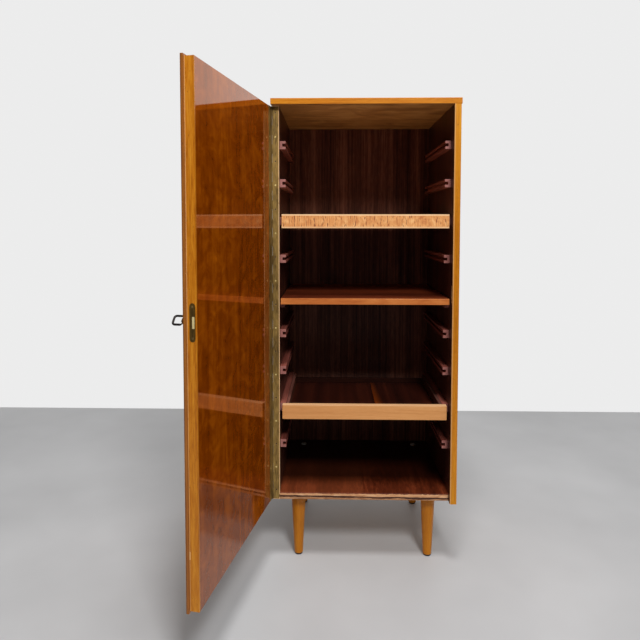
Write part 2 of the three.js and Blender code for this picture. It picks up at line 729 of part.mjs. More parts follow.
function lockCase() {
  const body = block(
    [caseFront - CASE_DEPTH, caseFront],
    [caseOuter, caseInner],
    [lockZ - CASE_LENGTH / 2, lockZ + CASE_LENGTH / 2],
  );
  const boltEnd = doorFree - BOLT_BAR_LENGTH;
  const channel = boltChannel([boltEnd - BOLT_BAR_WALL, caseFront + BOLT_BAR_WALL], FIT_GAP);
  const chamberRadius = KEY_BIT_LENGTH + 2 * FIT_GAP;
  const chamberSpan = [boltOuter - BIT_CHAMBER_DEPTH, boltOuter];
  const chamber = rod(chamberRadius, 'y', chamberSpan, [keyX, lockZ], ROUND_STEPS / 2);
  const hole = prism(keyhole(), 'y', [caseOuter - FIT_GAP, boltOuter], ROUND_STEPS / 2);
  return carve(body, channel, chamber, hole);
}

function faceplate() {
  const span = [doorFree - FACEPLATE_THICKNESS, doorFree];
  const plate = prism(faceplateOutline(0), 'x', span);
  return carve(plate, boltChannel([caseFront, doorFree + DOOR_LIP], FIT_GAP));
}

function escutcheon() {
  const span = [doorOuter - DOOR_SEAT - ESCUTCHEON_THICKNESS, doorOuter - DOOR_SEAT];
  const disc = rod(ESCUTCHEON_RADIUS, 'y', span, [keyX, lockZ], ROUND_STEPS / 2);
  const through = [span[0] - ESCUTCHEON_THICKNESS, doorOuter + ESCUTCHEON_THICKNESS];
  return carve(disc, prism(keyhole(), 'y', through, ROUND_STEPS / 2));
}

// Key, drawn about its own axis with the bit along +x; its length runs along -y

function keyShank() {
  const bitFar = boltOuter - FIT_GAP;
  const shank = rod(KEY_SHANK_RADIUS, 'y', [bowPivot + KEY_EYE_RADIUS / 2, bitFar], [0, 0]);
  const bit = block(
    [0, KEY_BIT_LENGTH],
    [bitFar - KEY_BIT_WIDTH, bitFar],
    [-KEY_BIT_THICKNESS / 2, KEY_BIT_THICKNESS / 2],
  );
  const half = KEY_EYE_WIDTH / 2;
  const eye = rod(KEY_EYE_RADIUS, 'x', [-half, half], [bowPivot, 0]);
  const bore = rod(BOW_PIVOT_RADIUS + PIN_CLEARANCE, 'x', [-KEY_EYE_WIDTH, KEY_EYE_WIDTH], [bowPivot, 0]);
  return carve(join(shank, bit, eye), bore);
}

// The bow is a flat rectangular ring whose inner bar is the pivot.
function keyBow() {
  const half = BOW_WIDTH / 2;
  const inner = half - BOW_BAR;
  const thickness = [-BOW_BAR / 2, BOW_BAR / 2];
  const root = bowPivot + BOW_BAR / 2;
  const tip = root - BOW_LENGTH;
  const loop = outline([[-half, tip], [half, tip], [half, root], [-half, root]]);
  const gap = outline([[-inner, tip + BOW_BAR], [inner, tip + BOW_BAR], [inner, root], [-inner, root]]);
  const frame = carve(
    prism(loop, 'z', thickness),
    prism(gap, 'z', [-BOW_BAR, BOW_BAR]),
    block([-inner, inner], [bowPivot, root + BOW_BAR], [-BOW_BAR, BOW_BAR]),
  );
  return join(frame, rod(BOW_PIVOT_RADIUS, 'x', [-inner - BOW_BAR / 2, inner + BOW_BAR / 2], [bowPivot, 0]));
}

// Assembly

function buildCarcass(cabinet) {
  piece(cabinet, 'side_left', sideLeft(), 'honeyVeneer');
  piece(cabinet, 'side_right', sideRight(), 'honeyVeneer');
  piece(cabinet, 'top_panel', topPanel(), 'honeyVeneer');
  piece(cabinet, 'bottom_panel', bottomPanel(), 'darkVeneer');
  const lipping = [underside, underside + BOTTOM_THICKNESS];
  piece(cabinet, 'bottom_lipping', block([innerLeft, innerRight], [0, LIPPING_DEPTH], lipping), 'rawWood');
  piece(cabinet, 'back_panel', backPanel(), 'darkVeneer');
  piece(cabinet, 'strike_plate', strikePlate(), 'agedBrass');
}

function buildLegs(cabinet) {
  for (const [name, x, y] of legPlaces) {
    const bolted = name.startsWith('back');
    piece(cabinet, `leg_${name}`, leg(bolted).translate(x, y, 0), 'turnedWood');
    piece(cabinet, `glide_${name}`, glide().translate(x, y, 0), 'blackPlastic');
    if (bolted) {
      piece(cabinet, `leg_bolt_${name}`, domedBolt().translate(x, y, 0), 'steel');
    }
  }
}

function buildRunners(cabinet) {
  for (let row = 0; row < ROW_COUNT; row += 1) {
    if (row !== MIDDLE_ROW) {
      piece(cabinet, `runner_left_${row + 1}`, runnerLeft(row), 'stainedRunner');
      piece(cabinet, `runner_right_${row + 1}`, mirrored(runnerLeft(row)), 'stainedRunner');
    }
  }
}

function buildMiddleShelf(cabinet) {
  const seam = SHELF_SETBACK + MIDDLE_SHELF_LIPPING;
  piece(cabinet, 'middle_shelf', middleShelf([seam, backFace]), 'darkVeneer');
  piece(cabinet, 'middle_shelf_lipping', middleShelf([SHELF_SETBACK, seam]), 'beech');
  piece(cabinet, 'bearer_left', bearerLeft(), 'stainedRunner');
  piece(cabinet, 'bearer_right', mirrored(bearerLeft()), 'stainedRunner');
}

function buildPullOutShelf(cabinet) {
  piece(cabinet, 'shelf_core', shelfCore(), 'blockboard');
  piece(cabinet, 'shelf_upper_ply', shelfPly(1), 'beech');
  piece(cabinet, 'shelf_lower_ply', shelfPly(-1), 'beech');
}

function buildTray(cabinet) {
  piece(cabinet, 'tray_front', trayFront(), 'beech');
  piece(cabinet, 'tray_side_left', traySideLeft(), 'beech');
  piece(cabinet, 'tray_side_right', mirrored(traySideLeft()), 'beech');
  piece(cabinet, 'tray_back', trayBackRail(), 'darkVeneer');
  const edge = slideInner + TRAY_SIDE_THICKNESS - TRAY_GROOVE_DEPTH + FIT_GAP;
  const joint = middleX + TRAY_JOINT_OFFSET;
  const left = [edge, joint - TRAY_JOINT_GAP / 2];
  const right = [joint + TRAY_JOINT_GAP / 2, CARCASS_WIDTH - edge];
  piece(cabinet, 'tray_floor_left', trayFloorBoard(left), 'darkVeneer');
  piece(cabinet, 'tray_floor_right', trayFloorBoard(right), 'darkVeneer');
}

function buildKey(door) {
  const key = new THREE.Group();
  key.position.set(keyX, 0, lockZ);
  key.rotation.y = -THREE.MathUtils.degToRad(KEY_ANGLE);
  piece(key, 'key_shank', keyShank(), 'blackIron');
  piece(key, 'key_bow', keyBow(), 'blackIron');
  door.add(key);
}

function buildDoor(cabinet) {
  const swing = new THREE.Group();
  swing.position.set(pinX, pinY, 0);
  swing.rotation.z = -THREE.MathUtils.degToRad(DOOR_OPENING_ANGLE);
  const door = new THREE.Group();
  door.position.set(-pinX, -pinY, 0);
  piece(door, 'door_core', doorCore(), 'lacqueredVeneer');
  piece(door, 'door_lipping', doorLipping(), 'honeyVeneer');
  piece(door, 'door_skin', doorSkin(), 'honeyVeneer');
  piece(door, 'hinge_leaf_door', leaf(1, [-HINGE_GAP, -HINGE_GAP + LEAF_THICKNESS]), 'agedBrass');
  piece(door, 'lock_case', lockCase(), 'steel');
  piece(door, 'lock_faceplate', faceplate(), 'agedBrass');
  piece(door, 'lock_bolt', boltChannel([doorFree - BOLT_BAR_LENGTH, doorFree], 0), 'steel');
  piece(door, 'escutcheon', escutcheon(), 'agedBrass');
  buildKey(door);
  swing.add(door);
  cabinet.add(swing);
}

function buildHinge(cabinet) {
  piece(cabinet, 'hinge_leaf_cabinet', leaf(0, [-LEAF_THICKNESS, 0]), 'agedBrass');
  piece(cabinet, 'hinge_pin', rod(HINGE_PIN_RADIUS, 'z', [doorLow, doorHigh], [pinX, pinY]), 'steel');
}

const cabinet = new THREE.Group();
buildCarcass(cabinet);
buildLegs(cabinet);
buildRunners(cabinet);
buildMiddleShelf(cabinet);
buildPullOutShelf(cabinet);
buildTray(cabinet);
buildHinge(cabinet);
buildDoor(cabinet);

// The origin is on the ground, under the middle of the cabinet with its door as drawn.
cabinet.updateMatrixWorld(true);
const middle = new THREE.Box3().setFromObject(cabinet, true).getCenter(new THREE.Vector3());
cabinet.position.set(-middle.x, -middle.y, 0);
cabinet.updateMatrixWorld(true);

export default cabinet;
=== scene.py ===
# %% [markdown]
# # A record cabinet on turned legs
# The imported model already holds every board, runner, hinge leaf and leg in its place.
# This lesson dresses it: veneers, worn edges, dulled brass and the small screws that hold
# the metalwork. The first lines load the model, which stays fixed from then on.

# %% Load the model
import json
import math

import bmesh
import bpy
from mathutils import Matrix, Vector


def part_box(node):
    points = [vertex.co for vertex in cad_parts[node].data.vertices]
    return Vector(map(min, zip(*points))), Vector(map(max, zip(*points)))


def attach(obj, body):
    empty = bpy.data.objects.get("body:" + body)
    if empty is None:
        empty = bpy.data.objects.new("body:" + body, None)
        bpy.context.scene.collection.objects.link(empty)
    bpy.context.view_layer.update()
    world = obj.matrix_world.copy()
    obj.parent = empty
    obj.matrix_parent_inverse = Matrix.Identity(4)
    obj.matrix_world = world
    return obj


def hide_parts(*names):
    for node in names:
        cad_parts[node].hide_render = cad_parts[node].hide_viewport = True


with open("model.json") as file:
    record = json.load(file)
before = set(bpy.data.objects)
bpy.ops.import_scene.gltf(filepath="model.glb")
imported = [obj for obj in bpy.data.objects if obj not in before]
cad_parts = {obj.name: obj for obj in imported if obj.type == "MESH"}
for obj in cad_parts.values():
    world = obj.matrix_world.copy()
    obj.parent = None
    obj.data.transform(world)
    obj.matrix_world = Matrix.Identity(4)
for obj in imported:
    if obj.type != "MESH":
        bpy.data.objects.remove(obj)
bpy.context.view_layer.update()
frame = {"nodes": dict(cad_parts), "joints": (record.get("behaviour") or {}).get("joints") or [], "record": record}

MM = 0.001
NODES = frame["nodes"]


def added(name, data):
    """A new object in the scene, at the origin."""
    made = bpy.data.objects.new(name, data)
    bpy.context.collection.objects.link(made)
    return made


# %% [markdown]
# ## The camera
# The picture was taken from just left of the cabinet's middle, at chest height, with the
# camera almost level. A level camera keeps uprights upright, so the frame is moved down
# with a small shift and the camera isn't tilted for it.

# %% Set up the camera
SENSOR = 36.0
LENS = 32.45
EYE = Vector((-0.01304, -1.51976, 0.940))
YAW_PITCH_ROLL = (1.25, -3.05, -0.05)
SHIFT_DOWN = -0.1017


def turned(degrees, axis):
    return Matrix.Rotation(math.radians(degrees), 4, axis)


def add_camera():
    data = bpy.data.cameras.new("camera")
    data.sensor_width = SENSOR
    data.lens = LENS
    data.shift_y = SHIFT_DOWN
    camera = added("camera", data)
    yaw, pitch, roll = YAW_PITCH_ROLL
    aim = turned(yaw, "Z") @ turned(pitch, "X") @ turned(roll, "Y")
    camera.matrix_world = Matrix.Translation(EYE) @ aim @ turned(90, "X")
    bpy.context.scene.camera = camera
    return camera


camera = add_camera()
print("Camera at", camera.matrix_world.translation)

# %% [markdown]
# ## Arithmetic for node trees
# A material is a tree of nodes. Written out link by link it is hard to read, so one small
# class wraps a socket: sums and products of sockets add Math nodes, and one method adds
# any other node from its type, its settings and what goes into its sockets.


# %% Wrap a socket
class Wire:
    """A socket of a node tree that takes part in sums."""

    def __init__(self, tree, socket=None):
        self.tree = tree
        self.socket = socket

    def add(self, kind, settings=(), inputs=(), output=0):
        node = self.tree.nodes.new(kind)
        for name, value in dict(settings).items():
            if name == "stops":
                set_stops(node.color_ramp, value)
            else:
                setattr(node, name, value)
        for key, value in dict(inputs).items():
            if isinstance(value, Wire):
                self.tree.links.new(value.socket, node.inputs[key])
            else:
                node.inputs[key].default_value = value
        return Wire(self.tree, node.outputs[output] if node.outputs else None)

    def math(self, operation, *values):
        return self.add("ShaderNodeMath", {"operation": operation}, enumerate(values))

    def __add__(self, other):
        return self.math("ADD", self, other)

    def __sub__(self, other):
        return self.math("SUBTRACT", self, other)

    def __rsub__(self, other):
        return self.math("SUBTRACT", other, self)

    def __mul__(self, other):
        return self.math("MULTIPLY", self, other)

    def __gt__(self, other):
        return self.math("GREATER_THAN", self, other)

    def __lt__(self, other):
        return self.math("LESS_THAN", self, other)

    __radd__ = __add__
    __rmul__ = __mul__


def set_stops(ramp, stops):
    while len(ramp.elements) < len(stops):
        ramp.elements.new(1.0)
    for element, (place, colour) in zip(ramp.elements, stops):
        element.position = place
        element.color = colour


print("Sockets can be added and compared")

# %% [markdown]
# ## Colours and where they go
# A screen's numbers from 0 to 255 aren't amounts of light, so each colour is turned into
# the linear one that a shader works in. Patterns are placed by Object coordinates, which
# stay with a piece when it moves. The door is drawn open, so its patterns are first
# turned back to the closed door, where its faces lie along the axes.


# %% Colours, closed-door coordinates and masks
def srgb(red, green, blue):
    def linear(value):
        share = value / 255
        return share / 12.92 if share < 0.04045 else ((share + 0.055) / 1.055) ** 2.4

    return (linear(red), linear(green), linear(blue), 1.0)


def grey(value):
    return (value, value, value, 1.0)


def joint_named(name):
    return next(joint for joint in frame["joints"] if joint["name"] == name)


HINGE = joint_named("door_hinge")
PIN = Vector(HINGE["pos_m"])
OPEN_DEGREES = -HINGE["range_deg"][0]
DOOR_TURN = Matrix.Translation(PIN) @ turned(-OPEN_DEGREES, "Z") @ Matrix.Translation(-PIN)


def as_drawn(start):
    """Where a point is on a piece, in metres."""
    return start.add("ShaderNodeTexCoord", output="Object")


def as_closed(start):
    """Where a point of the door is with the door closed."""
    back = DOOR_TURN.inverted()
    settings = {"vector_type": "POINT"}
    inputs = {0: as_drawn(start), 1: back.translation, 2: back.to_euler()}
    return start.add("ShaderNodeMapping", settings, inputs)


def parts(where):
    split = where.add("ShaderNodeSeparateXYZ", inputs={0: where}).socket.node
    return [Wire(where.tree, socket) for socket in split.outputs]


def mixed(factor, first, second, how="MIX"):
    settings = {"data_type": "RGBA", "blend_type": how}
    return first.add("ShaderNodeMix", settings, {0: factor, 6: first, 7: second}, output=2)


print("The door stands open by", OPEN_DEGREES, "degrees")

# %% [markdown]
# ## Wood
# Wood shows three things at once: slow changes of tone across a board, fibres and pores
# drawn out along the grain, and on flat-sawn veneer the long arches where the knife cut
# the growth rings. Each is a noise or a wave whose coordinates are stretched along the
# grain. A finish is kept as a small dictionary of colour, roughness and height, so that
# two finishes can meet on one board.


# %% Stretched noise and growth rings
BAND_SIZE = (0.035, 1.1)  # across the grain and along it, in metres
FIBRE_SIZE = (0.0016, 0.09)
PORE_SIZE = (0.0007, 0.014)


def along(axis, across, length):
    """The size of a pattern's features, drawn out along one axis."""
    return tuple(length if name == axis else across for name in "xyz")


def scaled(where, sizes, offset):
    """Coordinates that grow by 1 over each size, from 0 at the offset."""
    scale = [1 / size for size in sizes]
    place = [-shift * factor for shift, factor in zip(offset, scale)]
    inputs = {0: where, 1: place, 3: scale}
    return where.add("ShaderNodeMapping", {"vector_type": "POINT"}, inputs)


def noise(where, sizes, detail=2.0, roughness=0.5, distortion=0.0, offset=(0, 0, 0)):
    """Soft spots whose sizes along X, Y and Z are given in metres."""
    inputs = {
        "Vector": scaled(where, sizes, offset),
        "Scale": 1.0,
        "Detail": detail,
        "Roughness": roughness,
        "Distortion": distortion,
    }
    return where.add("ShaderNodeTexNoise", {"normalize": True}, inputs)


def rings(where, sizes, across, offset, distortion):
    """Growth rings round a line across the board, as long arches on its face."""
    settings = {"wave_type": "RINGS", "rings_direction": across, "wave_profile": "SAW"}
    inputs = {
        "Vector": scaled(where, sizes, offset),
        "Scale": 1.0,
        "Distortion": distortion,
        "Detail": 2.0,
        "Detail Scale": 0.6,
    }
    return where.add("ShaderNodeTexWave", settings, inputs)


def toned(value, colours, low=0.3, high=0.7):
    """Colours spread evenly over a value, from the first at low to the last at high."""
    step = (high - low) / (len(colours) - 1)
    stops = [(low + step * index, colour) for index, colour in enumerate(colours)]
    return value.add("ShaderNodeValToRGB", {"stops": stops}, {0: value})


def rising(value, low, high):
    """0 where a value is below low and 1 where it is above high."""
    return toned(value, (grey(0), grey(1)), low, high)


def wood(where, axis, colours, figure, fibre, seed, gloss, spread=0.14):
    """Colour, roughness and height of a board whose grain runs along an axis."""
    offset = (seed, seed, seed)
    bands = noise(where, along(axis, *BAND_SIZE), 3.0, 0.55, 0.3, offset)
    fibres = noise(where, along(axis, *FIBRE_SIZE), 4.0, 0.6, 0.0, offset)
    pores = noise(where, along(axis, *PORE_SIZE), 2.0, 0.5, 0.0, offset)
    slow = bands if figure is None else 0.4 * bands + 0.6 * figure
    tone = (1 - fibre) * slow + fibre * (0.65 * fibres + 0.35 * pores)
    return {
        "colour": toned(tone, colours, 0.5 - spread, 0.5 + spread),
        "roughness": gloss + 0.12 * (fibres - 0.5),
        "height": 0.6 * fibres + 0.4 * pores,
    }


def meet(mask, first, second):
    """The first finish where the mask is 0 and the second where it is 1."""
    return {
        "colour": mixed(mask, first["colour"], second["colour"]),
        "roughness": first["roughness"] * (1 - mask) + second["roughness"] * mask,
        "height": first["height"] * (1 - mask) + second["height"] * mask,
    }


print("Fibres", FIBRE_SIZE[0] / MM, "mm wide and pores", PORE_SIZE[0] / MM, "mm")

# %% [markdown]
# ## From finish to material
# Varnish is a thin clear coat over the wood. The door's lacquer is thick and mirrors, and
# the back panel was never polished. The finish gives what varies over a piece, and these
# uniform values are set on the shader's own sockets.


# %% Make a material of a finish
def finish(name, look, relief=0.05 * MM, **fixed):
    """A material whose look is a function of the tree's start."""
    material = bpy.data.materials.new(name)
    material.use_nodes = True
    tree = material.node_tree
    tree.nodes.clear()
    start = Wire(tree)
    made = look(start)
    bump = start.add(
        "ShaderNodeBump", inputs={"Strength": 1.0, "Distance": relief, "Height": made["height"]}
    )
    inputs = {"Base Color": made["colour"], "Roughness": made["roughness"], "Normal": bump}
    shader = start.add("ShaderNodeBsdfPrincipled", inputs={**inputs, **fixed})
    start.add("ShaderNodeOutputMaterial", inputs={"Surface": shader})
    return material


def dress(material, *names):
    for name in names:
        slots = NODES[name].data.materials
        slots.clear()
        slots.append(material)


VARNISH = {"Coat Weight": 0.08, "Coat Roughness": 0.15, "Specular IOR Level": 0.25}
LACQUER = {"IOR": 2.0, "Specular IOR Level": 0.5, "Specular Tint": (1.0, 0.3, 0.02, 1.0)}
DULL = {"Specular IOR Level": 0.1}
print("Varnish, lacquer and dull wood are ready")

# %% [markdown]
# ## Boards with a face and a back
# Outside, the cabinet has honey-brown veneer; inside it is a dark red-brown one with
# ribbon stripes. Both are glued to the same board, so one material per board picks its
# veneer by the side of the board that a point is on.

# %% The veneers' colours
HONEY = (srgb(158, 84, 16), srgb(194, 118, 30), srgb(216, 142, 46))
HONEY_EDGE = (srgb(156, 84, 6), srgb(190, 114, 16), srgb(212, 140, 36))
DARK = (srgb(58, 20, 8), srgb(92, 37, 17), srgb(130, 60, 32))
SIDE_DARK = (srgb(40, 19, 14), srgb(66, 34, 24), srgb(98, 55, 42))
BACK_DARK = (srgb(52, 24, 16), srgb(89, 48, 34), srgb(129, 78, 58))
CEILING = (srgb(140, 92, 46), srgb(176, 124, 68), srgb(202, 152, 92))
RAW = (srgb(176, 132, 92), srgb(206, 162, 118), srgb(222, 184, 144))
ARCH_SIZE = (0.075, 1.1)  # across the grain and along it, in metres
CLOUD_SIZE = (0.05, 0.5)
STRIPE_SIZE = (0.006, 0.6)
DASH_SIZE = (0.0045, 0.03)
SHADE_SIZE = (0.06, 0.16)
HAIR = 0.4 * MM  # how far a mask reaches past the face that it picks


def honey(where, axis, across, heart, seed):
    """Flat-sawn veneer: faint arches round a heart, under slow clouds."""
    arches = rings(where, along(axis, *ARCH_SIZE), across, heart, 5.0)
    clouds = noise(where, along(axis, *CLOUD_SIZE), 3.0, 0.55, 0.6, (seed, seed, seed))
    figure = 0.3 * arches + 0.7 * clouds
    return wood(where, axis, HONEY, figure, 0.45, seed, 0.32)


def ribbon(where, axis, seed, colours=DARK, shares=(0.35, 0.4, 0.25)):
    """Dark veneer with narrow stripes that come and go, as interlocked grain does."""
    offset = (seed, seed, seed)
    stripes = noise(where, along(axis, *STRIPE_SIZE), 2.0, 0.5, 0.0, offset)
    dashes = noise(where, along(axis, *DASH_SIZE), 3.0, 0.6, 0.4, offset)
    shades = noise(where, along(axis, *SHADE_SIZE), 2.0, 0.5, 0.5, offset)
    figure = shares[0] * stripes + shares[1] * dashes + shares[2] * shades
    return wood(where, axis, colours, figure, 0.25, seed, 0.36, 0.1)


print("Outer, inner and edge veneers have their colours")

# %% [markdown]
# ## Wear and holes
# An edge that hands and records pass gets small dark nicks, and its corners are rubbed to
# the bare wood, which along the sides' front edges is partly a painted highlight. The hinge
# is screwed down in every other hole, so between the screws the holes in the wood show
# through the empty ones, painted dark as the shade in them.

# %% Nicks and pilot holes
LEFT_LOW, LEFT_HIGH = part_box("side_left")
NICK = {"colour": srgb(104, 54, 16), "roughness": 0.6, "height": 0.0}
BARE_WOOD = {"colour": srgb(238, 196, 140), "roughness": 0.7, "height": 0.0}
NICK_SIZE = (0.003, 0.003, 0.009)
HOLE_STEP = 64.4 * MM
FIRST_HOLE = 26.9 * MM  # above the carcass's underside
HOLE_LINE = 8 * MM  # from the side's outer face
PILOT_SHADE = {"colour": srgb(34, 20, 12), "roughness": 0.9, "height": 0.0}
PILOT_RADIUS = 1.9 * MM


def nicked(where, made, seed):
    """Small dark nicks, as an edge gets from years of use."""
    nicks = noise(where, NICK_SIZE, 2.0, 0.6, 0.0, (seed, seed, seed))
    return meet(0.8 * rising(nicks, 0.68, 0.72), made, NICK)


def pilot_holes(x, z):
    """Where the holes in the wood show through the hinge's empty screw holes, painted dark as the shade in them.
    """
    across = x - (LEFT_LOW.x + HOLE_LINE)
    up = z.math("PINGPONG", z - (LEFT_LOW.z + FIRST_HOLE), HOLE_STEP / 2)
    return across * across + up * up < PILOT_RADIUS**2


print("Holes every", round(HOLE_STEP / MM, 1), "mm, from", round(FIRST_HOLE / MM, 1), "mm up")

# %% [markdown]
# ## The carcass
# Each side is honey veneer outside, dark ribbon veneer inside and a strip of solid wood
# along the front. The top is lighter below than above, and the floor is laid with two
# leaves of veneer, darkened behind the front by painted shade where the tray's shadow falls.

# %% The two sides
RIGHT_LOW, RIGHT_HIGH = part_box("side_right")
RIGHT_EDGE = (srgb(146, 79, 2), srgb(183, 110, 6), srgb(207, 137, 20))
BARE_EDGE = (srgb(206, 156, 104), srgb(230, 186, 138), srgb(240, 204, 162))
EDGE_DEPTH = 1.5 * MM  # how deep the edge's own wood goes
RUBBED_AND_LIT_ARRIS = 3 * MM
HEART_DEPTH = 0.22  # where the arches have their middle, from the front
HEART_HEIGHT = 0.5


def side_look(inner, sign, front, seed, edge_colours):
    """A side whose inner face is at inner; sign is 1 where the outer face is at lower X."""

    def look(start):
        where = as_drawn(start)
        x, y, z = parts(where)
        heart = (0, LEFT_LOW.y + HEART_DEPTH, HEART_HEIGHT + seed)
        outer = honey(where, "z", "X", heart, seed)
        inside = ribbon(where, "z", seed, SIDE_DARK)
        edge = wood(where, "z", edge_colours, None, 0.5, seed, 0.35, 0.1)
        # A pale line along the front edge's inner arris: rubbed wood, partly a painted highlight.
        edge = meet(0.3 * ((inner - x) * sign < RUBBED_AND_LIT_ARRIS), edge, BARE_WOOD)
        # Painted shade in the pilot holes behind the hinge's empty holes.
        edge = meet(pilot_holes(x, z), nicked(where, edge, seed), PILOT_SHADE)
        faced = meet((x - inner) * sign > -HAIR, outer, inside)
        return meet(y < front + HAIR + EDGE_DEPTH, faced, edge)

    return look


left_look = side_look(LEFT_HIGH.x, 1, LEFT_LOW.y, 0.0, BARE_EDGE)
right_look = side_look(RIGHT_LOW.x, -1, RIGHT_LOW.y, 1.7, RIGHT_EDGE)
dress(finish("side_left", left_look, **VARNISH), "side_left")
dress(finish("side_right", right_look, **VARNISH), "side_right")
print("Sides dressed, their inner faces", round(RIGHT_LOW.x - LEFT_HIGH.x, 3), "m apart")

# %% Top, floor and back
TOP_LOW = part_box("top_panel")[0]
FLOOR_LOW, FLOOR_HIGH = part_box("bottom_panel")
BACK_LOW, BACK_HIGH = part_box("back_panel")
CENTRE_X = (LEFT_LOW.x + RIGHT_HIGH.x) / 2
TOP_HEART = (CENTRE_X + 0.1, 0.2, 0)
LIGHTER_LEAF = srgb(150, 78, 44)
LIGHTER_SHARE = 0.25
MOSTLY_DASHES = (0.2, 0.6, 0.2)
MOSTLY_STRIPES = (0.6, 0.3, 0.1)
SHADE_FULL_AT = 0.148  # painted shade darkens the floor fully from this depth back, where the tray's shadow falls
SHADE_STARTS_AT = 0.108
FLOOR_FRONT_TONE = 0.84
PAINTED_SHADE_TONE = 0.23


def top_look(start):
    where = as_drawn(start)
    _, y, z = parts(where)
    outer = honey(where, "x", "Z", TOP_HEART, 3.1)
    edge = wood(where, "x", HONEY_EDGE, None, 0.5, 3.1, 0.3, 0.1)
    clouds = noise(where, (0.1, 0.06, 1.0), 2.0, 0.5, 1.0)
    under = wood(where, "x", CEILING, clouds, 0.3, 3.1, 0.45, 0.1)
    faced = meet(z < TOP_LOW.z + HAIR, outer, under)
    front = (y < TOP_LOW.y + HAIR + EDGE_DEPTH) * (z > TOP_LOW.z + HAIR)
    return meet(front, faced, edge)


def two_leaves(where, seed):
    """Two leaves of dark veneer that meet along the middle, the left one a shade lighter."""
    x, _, _ = parts(where)
    right = ribbon(where, "y", seed, DARK, MOSTLY_DASHES)
    left = ribbon(where, "y", seed + 3.7, DARK, MOSTLY_DASHES)
    left["colour"] = mixed(LIGHTER_SHARE, left["colour"], LIGHTER_LEAF)
    return meet(x < CENTRE_X, right, left)


def floor_look(start):
    where = as_drawn(start)
    _, y, z = parts(where)
    veneer = two_leaves(where, 5.2)
    # Painted shade: the floor's colour is multiplied down behind the front, where the tray's shadow falls.
    shade = toned(y, (grey(FLOOR_FRONT_TONE), grey(PAINTED_SHADE_TONE)), SHADE_STARTS_AT, SHADE_FULL_AT)
    veneer["colour"] = mixed(1.0, veneer["colour"], shade, "MULTIPLY")
    under = wood(where, "x", RAW, None, 0.5, 5.2, 0.7)
    return meet(z < FLOOR_HIGH.z - HAIR, veneer, under)


def back_look(start):
    where = as_drawn(start)
    _, y, _ = parts(where)
    front = ribbon(where, "z", 7.9, BACK_DARK, MOSTLY_STRIPES)
    rear = wood(where, "z", RAW, None, 0.5, 7.9, 0.7)
    return meet(y > BACK_LOW.y + HAIR, front, rear)


dress(finish("top_panel", top_look, **VARNISH), "top_panel")
dress(finish("cabinet_floor", floor_look, **VARNISH), "bottom_panel")
dress(finish("cabinet_back", back_look, **DULL), "back_panel")
print("Top, floor and back dressed, the middle at X", round(CENTRE_X, 4))

# %% [markdown]
# ## The worn strip under the opening
# The floor's front strip has lost its varnish, and a crack wanders along it where the
# veneer has come away. The crack is a thin dark line, its own dark wood together with
# painted shade in the gap, about a height that changes along the strip: a slope and a little noise.

# %% The worn strip
STRIP_LOW, STRIP_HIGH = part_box("bottom_lipping")
CRACK_LEFT = 7.5 * MM  # below the strip's upper edge
CRACK_RIGHT = 11 * MM
CRACK_WIDTH = 5.2 * MM
CRACK_WANDER = 6 * MM
CRACK_RELIEF = 0.2
VENEER_LAP = 2.4 * MM
LAP_RAGGED = 5 * MM
WORN = (srgb(166, 104, 62), srgb(214, 160, 112), srgb(244, 206, 166))
WORN_LOWER = (srgb(104, 60, 28), srgb(162, 112, 72), srgb(216, 174, 132))
CRACK_AND_SHADE_COLOURS = (srgb(30, 10, 3), srgb(56, 24, 8), srgb(92, 44, 16))


def strip_noise(where, length, seed):
    """A value that changes along the strip and not across it."""
    return noise(where, (length, 1.0, 1.0), 4.0, 0.6, 0.0, (seed, 0, 0)) - 0.5


def worn_look(start):
    where = as_drawn(start)
    x, _, z = parts(where)
    depth = STRIP_HIGH.z - z
    patches = noise(where, (0.03, 1.0, 0.006), 3.0, 0.6, 0.6)
    upper = wood(where, "x", WORN, patches, 0.45, 2.2, 0.65, 0.12)
    lower = wood(where, "x", WORN_LOWER, patches, 0.5, 4.4, 0.7, 0.12)
    # The crack's dark colour is partly painted shade in the gap.
    crack = wood(where, "x", CRACK_AND_SHADE_COLOURS, None, 0.6, 9.1, 0.8)
    crack["height"] = crack["height"] * CRACK_RELIEF
    slope = (CRACK_RIGHT - CRACK_LEFT) / (STRIP_HIGH.x - STRIP_LOW.x)
    wander = strip_noise(where, 0.07, 0.0) * CRACK_WANDER
    below = depth - ((x - STRIP_LOW.x) * slope + CRACK_LEFT + wander)
    width = (strip_noise(where, 0.05, 0.7) * 2 + 0.95) * CRACK_WIDTH
    lap = strip_noise(where, 0.012, 0.3) * LAP_RAGGED + VENEER_LAP
    veneer = two_leaves(where, 5.2)
    worn = nicked(where, meet(below > 0, upper, lower), 2.2)
    cracked = meet((below > 0) * (below < width), worn, crack)
    return meet(depth < lap, cracked, veneer)


dress(finish("worn_strip", worn_look, 0.3 * MM), "bottom_lipping")
print("Worn strip,", round((STRIP_HIGH.z - STRIP_LOW.z) / MM, 1), "mm high")

# %% [markdown]
# ## Runners, shelves and the tray
# The runners are stained a dusty red. The thick shelf is blockboard: its sawn front shows
# short dark streaks between two pale face sheets. The tray's front is smooth beech, and
# its dark floor has a wedge of lighter sapwood where its two boards meet.

# %% Runners and the middle shelf
RUNNER = (srgb(88, 38, 28), srgb(122, 60, 48), srgb(156, 88, 74))
RUNNER_END_LIT = (srgb(126, 70, 62), srgb(154, 96, 88), srgb(178, 122, 112))
RUNNER_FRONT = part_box("runner_left_1")[0].y
SHELF_EDGE = (srgb(160, 80, 30), srgb(192, 112, 52), srgb(214, 140, 76))
RUNNERS = sorted(name for name in NODES if name.startswith(("runner", "bearer")))


